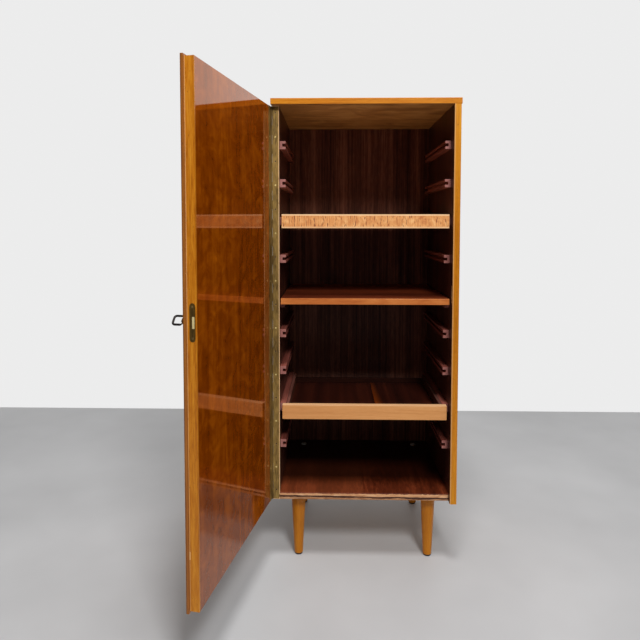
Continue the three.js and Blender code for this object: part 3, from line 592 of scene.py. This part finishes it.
def runner_look(start):
    """Stained wood whose sawn front end is paler: end grain, lightened by painted light where it faces the lamps.
    """
    where = as_drawn(start)
    _, y, _ = parts(where)
    side = wood(where, "y", RUNNER, None, 0.5, 4.0, 0.55)
    end = wood(where, "z", RUNNER_END_LIT, None, 0.5, 4.5, 0.7)
    return meet(y < RUNNER_FRONT + HAIR, side, end)


def shelf_look(start):
    return ribbon(as_drawn(start), "x", 9.4)


def shelf_edge_look(start):
    where = as_drawn(start)
    clouds = noise(where, (0.09, 1.0, 0.03), 3.0, 0.6, 0.5)
    return wood(where, "x", SHELF_EDGE, clouds, 0.35, 1.2, 0.4, 0.12)


dress(finish("stained_runner", runner_look), *RUNNERS)
dress(finish("middle_shelf", shelf_look, **VARNISH), "middle_shelf")
dress(finish("shelf_edge", shelf_edge_look, **VARNISH), "middle_shelf_lipping")
print(len(RUNNERS), "runners and bearers")

# %% The thick shelf
BLOCK = (srgb(186, 110, 54), srgb(218, 150, 84), srgb(238, 184, 120))
STREAK = {"colour": srgb(120, 50, 22), "roughness": 0.75, "height": 0.0}
PLY = (srgb(214, 160, 108), srgb(236, 192, 142), srgb(244, 208, 164))
SHEETS = ("shelf_upper_ply", "shelf_lower_ply")


def plain_wood(axis, colours, seed):
    def look(start):
        return wood(as_drawn(start), axis, colours, None, 0.5, seed, 0.6)

    return look


def block_look(start):
    """Sawn wood with soft patches and short dark streaks that stand upright."""
    where = as_drawn(start)
    patches = noise(where, (0.02, 0.05, 0.02), 3.0, 0.6, 0.8)
    sawn = wood(where, "z", BLOCK, patches, 0.5, 0.3, 0.7, 0.1)
    streaks = noise(where, (0.0026, 0.03, 0.016), 1.0, 0.5)
    return meet(rising(streaks, 0.62, 0.69), sawn, STREAK)


dress(finish("blockboard", block_look, 0.15 * MM), "shelf_core")
dress(finish("shelf_ply", plain_wood("x", PLY, 2.6)), *SHEETS)
print("Thick shelf: a core between", len(SHEETS), "sheets")

# %% The tray
BEECH = (srgb(190, 126, 68), srgb(212, 150, 90), srgb(226, 172, 114))
ARRIS_WEAR_AND_HIGHLIGHT = (srgb(198, 146, 98), srgb(218, 170, 122), srgb(232, 194, 152))
TRAY_SIDE = (srgb(66, 28, 16), srgb(88, 42, 24), srgb(112, 60, 36))
TRAY_DARK = (srgb(34, 11, 5), srgb(58, 20, 10), srgb(86, 36, 20))
TRAY_BACK = (srgb(28, 10, 5), srgb(46, 18, 10), srgb(66, 29, 16))
SAPWOOD = (srgb(110, 42, 5), srgb(136, 55, 7), srgb(156, 70, 12))
# The two rubbed edges are one wood in a lit and a shaded copy: painted light on the left side, painted shade on
# the right.
RUBBED_LIT_LEFT = (srgb(100, 54, 44), srgb(126, 74, 62), srgb(148, 96, 82))
RUBBED_SHADED_RIGHT = (srgb(66, 34, 26), srgb(90, 52, 42), srgb(112, 72, 60))
ARRIS = 1.4 * MM  # how much of an edge is rubbed and lightened by a painted highlight
TRAY_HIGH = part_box("tray_side_left")[1]
JOINT_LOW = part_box("tray_floor_right")[0]
SAP_FRONT = 32 * MM
SAP_BACK = 14 * MM
SAP_LENGTH = 0.33


def tray_front_look(start):
    where = as_drawn(start)
    _, _, z = parts(where)
    face = wood(where, "x", BEECH, None, 0.4, 6.6, 0.4)
    # The upper arris: rubbed wood, lightened further as a painted highlight.
    rubbed = wood(where, "x", ARRIS_WEAR_AND_HIGHLIGHT, None, 0.5, 6.7, 0.6)
    return meet(z > TRAY_HIGH.z - ARRIS, face, rubbed)


def tray_side_look(colours):
    """Dark sides whose upper edge is rubbed to a dusty red, lighter on the left by painted light and darker on the
    right by painted shade.
    """

    def look(start):
        where = as_drawn(start)
        _, _, z = parts(where)
        side = wood(where, "y", TRAY_SIDE, None, 0.5, 6.1, 0.5)
        rubbed = wood(where, "y", colours, None, 0.5, 6.3, 0.6)
        return meet(z > TRAY_HIGH.z - HAIR, side, rubbed)

    return look


def tray_floor_look(start):
    """Dark boards; the right one has a wedge of sapwood at the joint that narrows towards the back, where painted
    shade fades it.
    """
    where = as_drawn(start)
    x, y, _ = parts(where)
    dark = wood(where, "y", TRAY_DARK, None, 0.4, 11.3, 0.4, 0.18)
    sap = wood(where, "y", SAPWOOD, None, 0.5, 11.9, 0.4)
    inward = (y - JOINT_LOW.y) * (1 / SAP_LENGTH)
    reach = inward * (SAP_BACK - SAP_FRONT) + SAP_FRONT
    share = start.math("DIVIDE", x - JOINT_LOW.x, reach)
    fade = toned(share, (grey(1), grey(0.5), grey(0)), 0.0, 1.0) * (share > 0)
    # Painted shade: the sapwood's share falls towards the back, as the light does.
    return meet(fade * (1 - 0.6 * inward), dark, sap)


dress(finish("tray_front", tray_front_look, **VARNISH), "tray_front")
dress(finish("tray_side_left", tray_side_look(RUBBED_LIT_LEFT)), "tray_side_left")
dress(finish("tray_side_right", tray_side_look(RUBBED_SHADED_RIGHT)), "tray_side_right")
dress(finish("tray_floor", tray_floor_look), "tray_floor_left", "tray_floor_right")
dress(finish("tray_back", plain_wood("x", TRAY_BACK, 8.1), **DULL), "tray_back")
print("Tray dressed, its sides up to", round(TRAY_HIGH.z, 3), "m")

# %% [markdown]
# ## The door
# Its inner face is the showpiece: a mottled veneer under so much lacquer that it mirrors
# the shelves. A smooth surface with a high refraction index does that: the mirror image
# grows brighter towards a grazing view, as on real lacquer, and an amber tint warms it
# where it is seen more from the front. Round the edge runs a lighter strip, and the outer
# skin reaches past it as a lip.

# %% The door's faces
MOTTLED = (srgb(96, 37, 1), srgb(134, 60, 2), srgb(172, 88, 8))
SKIN_EDGE = (srgb(112, 60, 18), srgb(148, 86, 28), srgb(184, 118, 48))
DARK_OUTER_LINE = (srgb(58, 32, 14), srgb(80, 46, 20), srgb(104, 64, 30))
LINE_WIDTH = 1.5 * MM
DOOR_HEART = (CENTRE_X, 0, 0.62)
COLUMN_SIZE = (0.045, 0.05, 0.35)
STREAK_SIZE = (0.012, 0.05, 0.22)
CURL_SIZE = (0.05, 0.05, 0.05)
RIPPLE_SIZE = (0.03, 0.05, 0.012)
SMUDGE_SIZE = (0.08, 0.08, 0.08)


def door_face_look(start):
    """Columns, streaks, soft curls and a faint ripple under the lacquer."""
    where = as_closed(start)
    x, _, z = parts(where)
    columns = noise(where, COLUMN_SIZE, 2.0, 0.5, 0.8)
    streaks = noise(where, STREAK_SIZE, 2.0, 0.5, 0.5)
    curls = noise(where, CURL_SIZE, 3.0, 0.5, 1.4)
    ripple = noise(where, RIPPLE_SIZE, 2.0, 0.5, 0.6)
    fibres = noise(where, along("z", 0.0016, 0.06), 3.0, 0.6)
    tone = 0.33 * columns + 0.14 * streaks + 0.37 * curls + 0.08 * ripple + 0.08 * fibres
    smudges = noise(where, SMUDGE_SIZE, 4.0, 0.6)
    face = {
        "colour": toned(tone, MOTTLED, 0.33, 0.67),
        "roughness": 0.05 * smudges + 0.01,
        "height": fibres,
    }
    # Painted shade in the pilot holes behind the door leaf's empty holes.
    return meet(pilot_holes(x, z), face, PILOT_SHADE)


RUBBED_SEAM = 1.6 * MM
CHIP_HEIGHT = 0.294
CHIP_REACH = (2.4 * MM, 8 * MM)  # across the edge and up it


def door_edge_look(start):
    """The lighter strip round the core, with streaks, nicks and one pale chip."""
    where = as_closed(start)
    _, y, z = parts(where)
    streaks = noise(where, along("z", 0.006, 0.05), 3.0, 0.6, 0.4)
    strip = wood(where, "z", HONEY_EDGE, streaks, 0.45, 13.0, 0.32, 0.1)
    across = y - LIPPING_FACE
    strip = meet(0.4 * (across < RUBBED_SEAM), strip, BARE_WOOD)
    up = start.math("ABSOLUTE", z - CHIP_HEIGHT)
    chipped = (across < CHIP_REACH[0]) * (up < CHIP_REACH[1])
    return meet(0.8 * chipped, nicked(where, strip, 13.0), BARE_WOOD)


def door_skin_look(start):
    """Veneer outside, and a bare edge with a darker line at its outer side."""
    where = as_closed(start)
    _, y, _ = parts(where)
    outer = honey(where, "z", "Y", DOOR_HEART, 14.0)
    edge = nicked(where, wood(where, "z", SKIN_EDGE, None, 0.5, 14.0, 0.4), 14.0)
    line = wood(where, "z", DARK_OUTER_LINE, None, 0.5, 15.0, 0.5)
    edge = meet(y < SKIN_FACE + LINE_WIDTH, edge, line)
    return meet(y > SKIN_FACE + HAIR, outer, edge)


def closed_box(name):
    """A door node's box with the door closed."""
    back = DOOR_TURN.inverted()
    points = [back @ vertex.co for vertex in NODES[name].data.vertices]
    low = Vector(min(point[axis] for point in points) for axis in range(3))
    high = Vector(max(point[axis] for point in points) for axis in range(3))
    return low, high


SKIN_FACE = closed_box("door_skin")[0].y
LIPPING_FACE = closed_box("door_lipping")[0].y
dress(finish("door_inner_face", door_face_look, 0.02 * MM, **LACQUER), "door_core")
dress(finish("door_edge", door_edge_look, **VARNISH), "door_lipping")
dress(finish("door_skin", door_skin_look, **VARNISH), "door_skin")
print("Door dressed, its outer face at Y", round(SKIN_FACE, 4), "when closed")

# %% [markdown]
# ## Rounded and eased copies
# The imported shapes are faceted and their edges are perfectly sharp. A turned leg or a
# bolt's head is really round, and a sanded board has edges that catch a thin line of
# light. So a node that needs it is copied, the copy's points are merged, its slopes are
# shaded smooth and, on boards, a narrow bevel runs along every sharp edge. The copy then
# stands in for the node and rides on the same body.


# %% Smooth copies and eased edges
JOINED_WITHIN = 0.01 * MM
FLAT_DEGREES = 1
SHARP_DEGREES = 36
EASED_FROM_DEGREES = 40
EASING_STEPS = 2


def fresh_mesh(name, made):
    mesh = bpy.data.meshes.new(name)
    made.to_mesh(mesh)
    made.free()
    return mesh


def merged(node):
    """The node's solid with its points joined."""
    made = bmesh.new()
    made.from_mesh(NODES[node].data)
    bmesh.ops.remove_doubles(made, verts=made.verts, dist=JOINED_WITHIN)
    return made


def smooth_copy(node):
    """A copy of a node with its points merged, which is smooth apart from sharp edges."""
    made = merged(node)
    for face in made.faces:
        face.smooth = True
    for edge in made.edges:
        sharp = not edge.is_manifold or edge.calc_face_angle(0) > math.radians(SHARP_DEGREES)
        edge.smooth = not sharp
    return added(node + "_smooth", fresh_mesh(node + "_smooth", made))


def eased_copy(node, width):
    """A copy of a board whose edges are rounded over by a given width."""
    made = merged(node)
    flat = math.radians(FLAT_DEGREES)
    bmesh.ops.dissolve_limit(made, angle_limit=flat, verts=made.verts, edges=made.edges)
    piece = added(node + "_eased", fresh_mesh(node + "_eased", made))
    easing = piece.modifiers.new("eased edges", "BEVEL")
    easing.width = width
    easing.segments = EASING_STEPS
    easing.limit_method = "ANGLE"
    easing.angle_limit = math.radians(EASED_FROM_DEGREES)
    easing.use_clamp_overlap = True
    easing.harden_normals = False
    return piece


BODIES = frame["record"]["behaviour"]["bodies"]


def body_of(node):
    return next(body for body, members in BODIES.items() if node in members)


def stands_in(piece, node):
    """Put a finished copy in a node's place, in the node's own material."""
    piece.data.materials.clear()
    piece.data.materials.append(NODES[node].data.materials[0])
    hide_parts(node)
    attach(piece, body_of(node))
    return piece


print("Copies can be smoothed and eased")

# %% [markdown]
# ## Turned legs
# The legs are turned from a light wood and varnished golden brown, darker towards the
# top.

# %% The legs
TURNED = (srgb(152, 84, 2), srgb(182, 108, 6), srgb(200, 128, 14))
TURNED_DARK = (srgb(96, 50, 6), srgb(124, 68, 10), srgb(140, 82, 16))
LEG_NAMES = sorted(name for name in NODES if name.startswith("leg_") and "bolt" not in name)
DARK_FROM, DARK_TO = 0.168, 0.18  # the height where the legs turn darker


def leg_look(start):
    where = as_drawn(start)
    _, _, z = parts(where)
    light = wood(where, "z", TURNED, None, 0.5, 21.0, 0.3)
    dark = wood(where, "z", TURNED_DARK, None, 0.5, 21.0, 0.3)
    ragged = z + 10 * MM * noise(where, (0.02, 0.02, 0.02))
    made = meet(rising(ragged, DARK_FROM, DARK_TO), light, dark)
    tool_marks = noise(where, (1.0, 1.0, 0.0012), 1.0)
    made["height"] = made["height"] + 0.5 * tool_marks
    return made


LEG_FINISH = finish("turned_leg", leg_look, 0.08 * MM, **VARNISH)
dress(LEG_FINISH, *LEG_NAMES)
for name in LEG_NAMES:
    stands_in(smooth_copy(name), name)
print(len(LEG_NAMES), "legs, up to the carcass at", round(FLOOR_LOW.z, 3), "m")

# %% [markdown]
# ## Metal
# The hinge, lock and strike plate are brass that has dulled unevenly; the hinge is darker
# on its knuckles, and the strike plate is lightened by a painted glint. The lock's bolt is
# paler from use, the bolts that hold the back legs are plain steel, and the key is almost black.


# %% Metals and plastic
SPOT = (0.004, 0.004, 0.02)
CLOUD = tuple(8 * size for size in SPOT)


def tarnished(start, bright, dull, gloss):
    """Metal whose dull patches are rougher than its bright ones."""
    where = as_drawn(start)
    cloud = noise(where, CLOUD, 4.0, 0.6, 0.4)
    spots = noise(where, SPOT, 3.0, 0.6)
    age = 0.6 * cloud + 0.4 * spots
    return {
        "colour": toned(age, (bright, dull), 0.4, 0.6),
        "roughness": gloss + 0.5 * (age - 0.5),
        "height": spots,
    }


def metal(name, bright, dull, gloss, metallic):
    def look(start):
        return tarnished(start, bright, dull, gloss)

    return finish(name, look, 0.015 * MM, Metallic=metallic)


BRIGHT_BRASS = srgb(182, 148, 82)
DULL_BRASS = srgb(94, 72, 34)
KNUCKLE_DARK = {"colour": srgb(84, 60, 28), "roughness": 0.6, "height": 0.0}
KNUCKLE_REACH = 2.9 * MM  # from the pin's axis to the knuckles' outside


def leaf_look(start):
    """Brass, darker on the knuckles."""
    x, y, _ = parts(as_drawn(start))
    made = tarnished(start, BRIGHT_BRASS, DULL_BRASS, 0.48)
    knuckles = (x < PIN.x + KNUCKLE_REACH) * (y > PIN.y - KNUCKLE_REACH)
    return meet(0.7 * knuckles, made, KNUCKLE_DARK)


BRASS = metal("dulled_brass", BRIGHT_BRASS, DULL_BRASS, 0.48, 0.7)
HINGE_BRASS = finish("hinge_brass", leaf_look, 0.015 * MM, Metallic=0.7)
STEEL = metal("steel", srgb(190, 186, 178), srgb(132, 128, 120), 0.4, 0.8)
BOLT = metal("lock_bolt", srgb(244, 226, 170), srgb(220, 196, 136), 0.4, 0.3)
BOLT_HEAD = metal("bolt_head", srgb(206, 202, 194), srgb(150, 146, 138), 0.45, 0.3)
# The strike plate is lightened by a painted glint, as it sits in shade.
STRIKE_BRASS_GLINT = metal("strike_brass_painted_glint", srgb(222, 192, 140), srgb(172, 138, 92), 0.5, 0.3)
LOCK_BRASS = metal("lock_brass", srgb(122, 92, 40), srgb(62, 46, 18), 0.45, 0.7)
IRON = metal("key_iron", srgb(52, 46, 44), srgb(30, 26, 25), 0.35, 0.6)
GLIDE = metal("black_plastic", srgb(34, 31, 29), srgb(24, 21, 20), 0.55, 0.0)

dress(HINGE_BRASS, "hinge_leaf_cabinet", "hinge_leaf_door")
dress(BRASS, "escutcheon")
dress(STRIKE_BRASS_GLINT, "strike_plate")
dress(LOCK_BRASS, "lock_faceplate")
dress(BOLT, "lock_bolt")
dress(STEEL, "hinge_pin", "lock_case")
dress(BOLT_HEAD, "leg_bolt_back_left", "leg_bolt_back_right")
dress(IRON, "key_shank", "key_bow")
dress(GLIDE, *[name for name in NODES if name.startswith("glide")])
print("Metals dressed")

# %% [markdown]
# ## Copies of the metalwork and the boards
# The hinge's knuckles, the bolts' heads and the key were never faceted, so they get
# smooth copies. The top, the tray, the runners and the strips are wood that a hand
# touches, and they get eased edges. The key's bow is bent from one bar, so its corners
# are rounder than any board's.

# %% Smooth metalwork
ROUND = ("hinge_", "escutcheon", "lock_faceplate", "leg_bolt", "glide", "key_shank")
round_names = sorted(name for name in NODES if name.startswith(ROUND))
for name in round_names:
    stands_in(smooth_copy(name), name)
print(len(round_names), "pieces of metal and plastic smoothed")

# %% The key's bow, bent from round bar
BAR_RADIUS = 2.3 * MM
PIVOT_RADIUS = 1.5 * MM
BOW_HALF_WIDTH = 9.75 * MM  # to the middle of the bar
BOW_REACH = 20.4 * MM
BEND = 5 * MM
BEND_STEPS = 6
BAR_SIDES = 14


def bow_path():
    """The bar's middle line: a rectangle with bent corners, and how thick the bar is."""
    path = []
    centre_across, centre_out = BOW_HALF_WIDTH - BEND, (BEND, BOW_REACH - BEND)
    corners = ((1, 1), (-1, 1), (-1, 0), (1, 0))
    for index, (side, far) in enumerate(corners):
        for step in range(BEND_STEPS + 1):
            angle = math.radians(90 * (index + step / BEND_STEPS))
            across = side * centre_across + BEND * math.cos(angle)
            out = centre_out[far] + BEND * math.sin(angle)
            path.append((across, out, PIVOT_RADIUS if out < BEND / 2 else BAR_RADIUS))
    return path


def bow_mesh():
    """Rings of points square to the path, joined into a closed tube."""
    pivot = Vector(joint_named("key_fold")["pos_m"])
    width = Vector(joint_named("key_fold")["axis"]).normalized()
    outward = -Vector(joint_named("key_turn")["axis"]).normalized()
    thick = width.cross(outward)
    path = bow_path()
    middles = [pivot + across * width + out * outward for across, out, _ in path]
    made = bmesh.new()
    rings_made = []
    for index, (_, _, radius) in enumerate(path):
        ahead = middles[(index + 1) % len(path)] - middles[index - 1]
        side = ahead.normalized().cross(thick)
        spokes = [math.tau * step / BAR_SIDES for step in range(BAR_SIDES)]
        ring = [
            made.verts.new(middles[index] + radius * (math.cos(a) * side + math.sin(a) * thick))
            for a in spokes
        ]
        rings_made.append(ring)
    for index, ring in enumerate(rings_made):
        before = rings_made[index - 1]
        for step in range(BAR_SIDES):
            after = (step + 1) % BAR_SIDES
            face = made.faces.new((before[step], before[after], ring[after], ring[step]))
            face.smooth = True
    bmesh.ops.recalc_face_normals(made, faces=made.faces)
    return fresh_mesh("key_bow_bent", made)


stands_in(added("key_bow_bent", bow_mesh()), "key_bow")

# %% Eased boards
EASING = {
    0.5 * MM: ("middle_shelf_lipping", "bottom_lipping", "runner", "bearer"),
    0.9 * MM: ("tray_front", "tray_side", "tray_back", "top_panel"),
}
for width, starts in EASING.items():
    names = sorted(name for name in NODES if name.startswith(starts))
    for name in names:
        stands_in(eased_copy(name, width), name)
    print(len(names), "boards eased by", round(width / MM, 1), "mm")

# %% [markdown]
# ## Screws in rows
# A continuous hinge is screwed down through every other hole. A row of equal things at
# equal steps is what Geometry Nodes do best: one head is made from a flattened ball with
# a slot cut across it, then set on each point of a line and turned at random. The tree
# ends in plain geometry, which becomes one mesh.


# %% The tree for a row of slotted screws
def new_tree(name, inputs):
    tree = bpy.data.node_groups.new(name, "GeometryNodeTree")
    for label, kind, value in inputs:
        socket = tree.interface.new_socket(label, in_out="INPUT", socket_type=kind)
        socket.default_value = value
    tree.interface.new_socket("Geometry", in_out="OUTPUT", socket_type="NodeSocketGeometry")
    return tree


def combine(start, x, y, z):
    return start.add("ShaderNodeCombineXYZ", inputs={0: x, 1: y, 2: z})


SCREW_INPUTS = (
    ("Count", "NodeSocketInt", 2),
    ("Step", "NodeSocketFloat", 0.1),
    ("Radius", "NodeSocketFloat", 0.003),
    ("Rise", "NodeSocketFloat", 0.0008),
    ("Slot", "NodeSocketFloat", 0.0006),
    ("Finish", "NodeSocketMaterial", None),
)


def screw_tree():
    """Heads face local Z, and the row runs along local X."""
    tree = new_tree("row of screws", SCREW_INPUTS)
    start = Wire(tree)
    group = start.add("NodeGroupInput").socket.node
    given = {socket.name: Wire(tree, socket) for socket in group.outputs if socket.name}
    ball = start.add(
        "GeometryNodeMeshUVSphere", inputs={"Segments": 20, "Rings": 10, "Radius": 1.0}
    )
    size = combine(start, given["Radius"], given["Radius"], given["Rise"])
    head = start.add("GeometryNodeTransform", inputs={"Geometry": ball, "Scale": size})
    size = combine(start, given["Radius"] * 3, given["Slot"], given["Rise"])
    bar = start.add("GeometryNodeMeshCube", inputs={"Size": size})
    lift = combine(start, 0.0, 0.0, given["Rise"])
    bar = start.add("GeometryNodeTransform", inputs={"Geometry": bar, "Translation": lift})
    head = start.add(
        "GeometryNodeMeshBoolean", {"operation": "DIFFERENCE"}, {"Mesh 1": head, "Mesh 2": bar}
    )
    line = start.add(
        "GeometryNodeMeshLine",
        inputs={"Count": given["Count"], "Offset": combine(start, given["Step"], 0.0, 0.0)},
    )
    spin = start.add(
        "FunctionNodeRandomValue", {"data_type": "FLOAT"}, {"Max": math.tau, "Seed": 5}, output=1
    )
    row = start.add(
        "GeometryNodeInstanceOnPoints",
        inputs={"Points": line, "Instance": head, "Rotation": combine(start, 0.0, 0.0, spin)},
    )
    solid = start.add("GeometryNodeRealizeInstances", inputs={"Geometry": row})
    done = start.add(
        "GeometryNodeSetMaterial", inputs={"Geometry": solid, "Material": given["Finish"]}
    )
    start.add("NodeGroupOutput", inputs={"Geometry": done})
    return tree


SCREW_TREE = screw_tree()
print("Screw tree with", len(SCREW_TREE.nodes), "nodes")


# %% Grow a tree into a plain mesh
def grown(name, tree, values, place):
    """The tree's result as a plain object, set in place by its points."""
    seed = added(name + "_seed", bpy.data.meshes.new(name + "_seed"))
    modifier = seed.modifiers.new("grow", "NODES")
    modifier.node_group = tree
    for item in tree.interface.items_tree:
        if item.in_out == "INPUT" and item.name in values:
            modifier[item.identifier] = values[item.name]
    bpy.context.view_layer.update()
    ready = seed.evaluated_get(bpy.context.evaluated_depsgraph_get())
    mesh = bpy.data.meshes.new_from_object(ready)
    bpy.data.objects.remove(seed)
    mesh.name = name
    mesh.transform(place)
    return added(name, mesh)


def facing(origin, row, out):
    """A placing whose X runs along a row and whose Z faces out of a surface."""
    side = out.cross(row)
    turn = Matrix((row, side, out)).transposed().to_4x4()
    return Matrix.Translation(origin) @ turn


# %% [markdown]
# ## Where the screws go
# On the hinge the holes are punched at one step all the way up. The leaf on the cabinet
# faces forward and the leaf on the door faces into the cabinet when closed, so its row is
# placed on the closed door and then turned open with it.

# %% The hinge's screws
UP = Vector((0, 0, 1))
FORWARD = Vector((0, -1, 0))
BACKWARD = Vector((0, 1, 0))
SCREW_COUNT = 8
SUNK = 0.26 * MM  # the heads lie in their holes, so that the leaves can close
LEAF_THICKNESS = 0.9 * MM
LEAF_GAP = 0.2 * MM  # between the two leaves when the door is closed
LEAF_FRONT = LEFT_LOW.y - LEAF_THICKNESS + SUNK
DOOR_LEAF_BACK = LEFT_LOW.y - LEAF_THICKNESS - LEAF_GAP - SUNK
HINGE_SCREW = {
    "Count": SCREW_COUNT,
    "Step": 2 * HOLE_STEP,
    "Radius": 2.28 * MM,
    "Rise": 0.34 * MM,
    "Slot": 0.7 * MM,
    # Pale brass, lightened by a painted glint so that each head shows as a bright dot.
    "Finish": metal("screw_brass_painted_glint", srgb(240, 220, 150), srgb(206, 182, 110), 0.3, 0.3),
}


def settle(piece, body):
    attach(piece, body)
    return piece


first = Vector((LEFT_LOW.x + HOLE_LINE, LEAF_FRONT, LEFT_LOW.z + FIRST_HOLE + HOLE_STEP))
row = grown("hinge_screws_cabinet", SCREW_TREE, HINGE_SCREW, facing(first, UP, FORWARD))
settle(row, "cabinet")
first.y = DOOR_LEAF_BACK
placed = DOOR_TURN @ facing(first, UP, BACKWARD)
row = grown("hinge_screws_door", SCREW_TREE, HINGE_SCREW, placed)
settle(row, "door")
print("Hinge screws:", len(row.data.polygons), "faces a leaf")

# %% Screws of the lock, the strike plate and the keyhole plate
RIGHT = Vector((1, 0, 0))
LEFT = Vector((-1, 0, 0))
LOCK_SCREW = metal("lock_screw", srgb(134, 108, 60), srgb(84, 64, 32), 0.5, 0.6)
SMALL_SCREW = {
    **HINGE_SCREW,
    "Count": 2,
    "Radius": 2.4 * MM,
    "Slot": 0.6 * MM,
    "Finish": LOCK_SCREW,
}
PLATE_PIN = {**SMALL_SCREW, "Radius": 1.2 * MM, "Rise": 0.5 * MM, "Slot": 0.3 * MM}


def pair_of_screws(name, node, screw, edge_gap, row_side, out, closed=False):
    """Two screws on a plate, one near each end, on the face that looks outward."""
    low, high = closed_box(node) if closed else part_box(node)
    centre = (low + high) / 2
    half = Vector(abs(part) / 2 for part in (high - low))
    reach = half.dot(Vector(abs(part) for part in row_side)) - edge_gap
    depth = half.dot(Vector(abs(part) for part in out))
    start = centre + out * depth - row_side * reach
    placed = facing(start, row_side, out)
    if closed:
        placed = DOOR_TURN @ placed
    made = grown(name, SCREW_TREE, {**screw, "Step": 2 * reach}, placed)
    return settle(made, body_of(node))


pair_of_screws("lock_screws", "lock_faceplate", SMALL_SCREW, 7 * MM, UP, RIGHT, True)
pair_of_screws("strike_screws", "strike_plate", SMALL_SCREW, 6 * MM, UP, LEFT)
pair_of_screws("keyhole_pins", "escutcheon", PLATE_PIN, 2.4 * MM, RIGHT, FORWARD, True)
print("Lock, strike plate and keyhole plate have their screws")

# %% Screws round the back panel
BACK_SCREW = {
    **HINGE_SCREW,
    "Radius": 2.6 * MM,
    "Finish": metal("dark_screw", srgb(84, 78, 70), srgb(48, 44, 40), 0.5, 0.5),
}
BACK_GAP = 6 * MM  # from the panel's edge
COUNT_UP = 7
COUNT_ACROSS = 4
CORNER_GAP = 0.08


def back_row(name, count, start, end):
    step = (end - start) / (count - 1)
    values = {**BACK_SCREW, "Count": count, "Step": step.length}
    made = grown(name, SCREW_TREE, values, facing(start, step.normalized(), BACKWARD))
    print(name, len(made.data.vertices), "points")
    return settle(made, "cabinet")


def behind(x, z):
    return Vector((x, BACK_HIGH.y, z))


near_left, far_right = BACK_LOW.x + BACK_GAP, BACK_HIGH.x - BACK_GAP
lower, upper = BACK_LOW.z + BACK_GAP, BACK_HIGH.z - BACK_GAP
for name, x in (("back_screws_left", near_left), ("back_screws_right", far_right)):
    back_row(name, COUNT_UP, behind(x, lower), behind(x, upper))
for name, z in (("back_screws_lower", lower), ("back_screws_upper", upper)):
    ends = behind(near_left + CORNER_GAP, z), behind(far_right - CORNER_GAP, z)
    back_row(name, COUNT_ACROSS, *ends)

# %% [markdown]
# ## Floor, background and light
# A pale floor keeps the cabinet's soft shadow. Two softboxes stand in front, one high and
# one lower, so the insides of the compartments fall into shade in two steps. The world
# looks pale to the camera and in reflections but gives little light itself, and where a
# reflection looks back into the room it stays dim.

# %% Floor and world
FLOOR_REACH = 2.4
FLOOR_BEHIND = 1.36
FLOOR_GREYS = (srgb(178, 178, 179), srgb(190, 190, 191))


def stage_look(start):
    cloud = noise(as_drawn(start), (0.4, 0.4, 0.4), 3.0, 0.5)
    return {"colour": toned(cloud, FLOOR_GREYS), "roughness": 0.6, "height": cloud}


def add_floor():
    low = (-FLOOR_REACH, -FLOOR_REACH, 0)
    high = (FLOOR_REACH, FLOOR_BEHIND, 0)
    corners = [low, (high[0], low[1], 0), high, (low[0], high[1], 0)]
    mesh = bpy.data.meshes.new("floor")
    mesh.from_pydata(corners, [], [(0, 1, 2, 3)])
    mesh.materials.append(finish("floor", stage_look, 0.0))
    added("floor", mesh)


def set_world(ambient, backdrop, pale, dim):
    """Pale to the camera and in reflections, where the room in front stays dim."""
    world = bpy.data.worlds.new("studio")
    bpy.context.scene.world = world
    world.use_nodes = True
    tree = world.node_tree
    tree.nodes.clear()
    start = Wire(tree)
    path = start.add("ShaderNodeLightPath").socket.node
    camera_ray, glossy, through = [
        Wire(tree, path.outputs[f"Is {name} Ray"]) for name in ("Camera", "Glossy", "Transmission")
    ]
    direct = start.math("MAXIMUM", camera_ray, through)
    _, backward, _ = parts(start.add("ShaderNodeTexCoord", output="Generated"))
    room = toned(backward, (grey(dim), grey(pale)), 0.0, 0.15)
    mirrored = glossy * room + (1 - glossy) * ambient
    strength = direct * backdrop + (1 - direct) * mirrored
    light = start.add("ShaderNodeBackground", inputs={0: grey(1.0), 1: strength})
    start.add("ShaderNodeOutputWorld", inputs={"Surface": light})


add_floor()
set_world(ambient=0.25, backdrop=0.84, pale=1.4, dim=0.04)
print("Floor reaches", FLOOR_REACH, "m to the sides and", FLOOR_BEHIND, "m behind")

# %% Lights
LIGHTS = (  # name, place, target, size in metres and power in watts
    ("high_front", (0.1, -1.0, 4.0), (0.0, 0.1, 0.7), 0.7, 73.0),
    ("low_front", (0.7, -2.6, 3.1), (0.0, 0.1, 0.7), 0.7, 82.0),
)


def add_light(name, place, target, size, power):
    data = bpy.data.lights.new(name, "AREA")
    data.shape = "SQUARE"
    data.size = size
    data.energy = power
    lamp = added(name, data)
    lamp.location = place
    aim = Vector(target) - Vector(place)
    lamp.rotation_euler = aim.to_track_quat("-Z", "Y").to_euler()


for light in LIGHTS:
    add_light(*light)
bpy.context.scene.view_settings.view_transform = "Standard"
print(len(LIGHTS), "lamps")
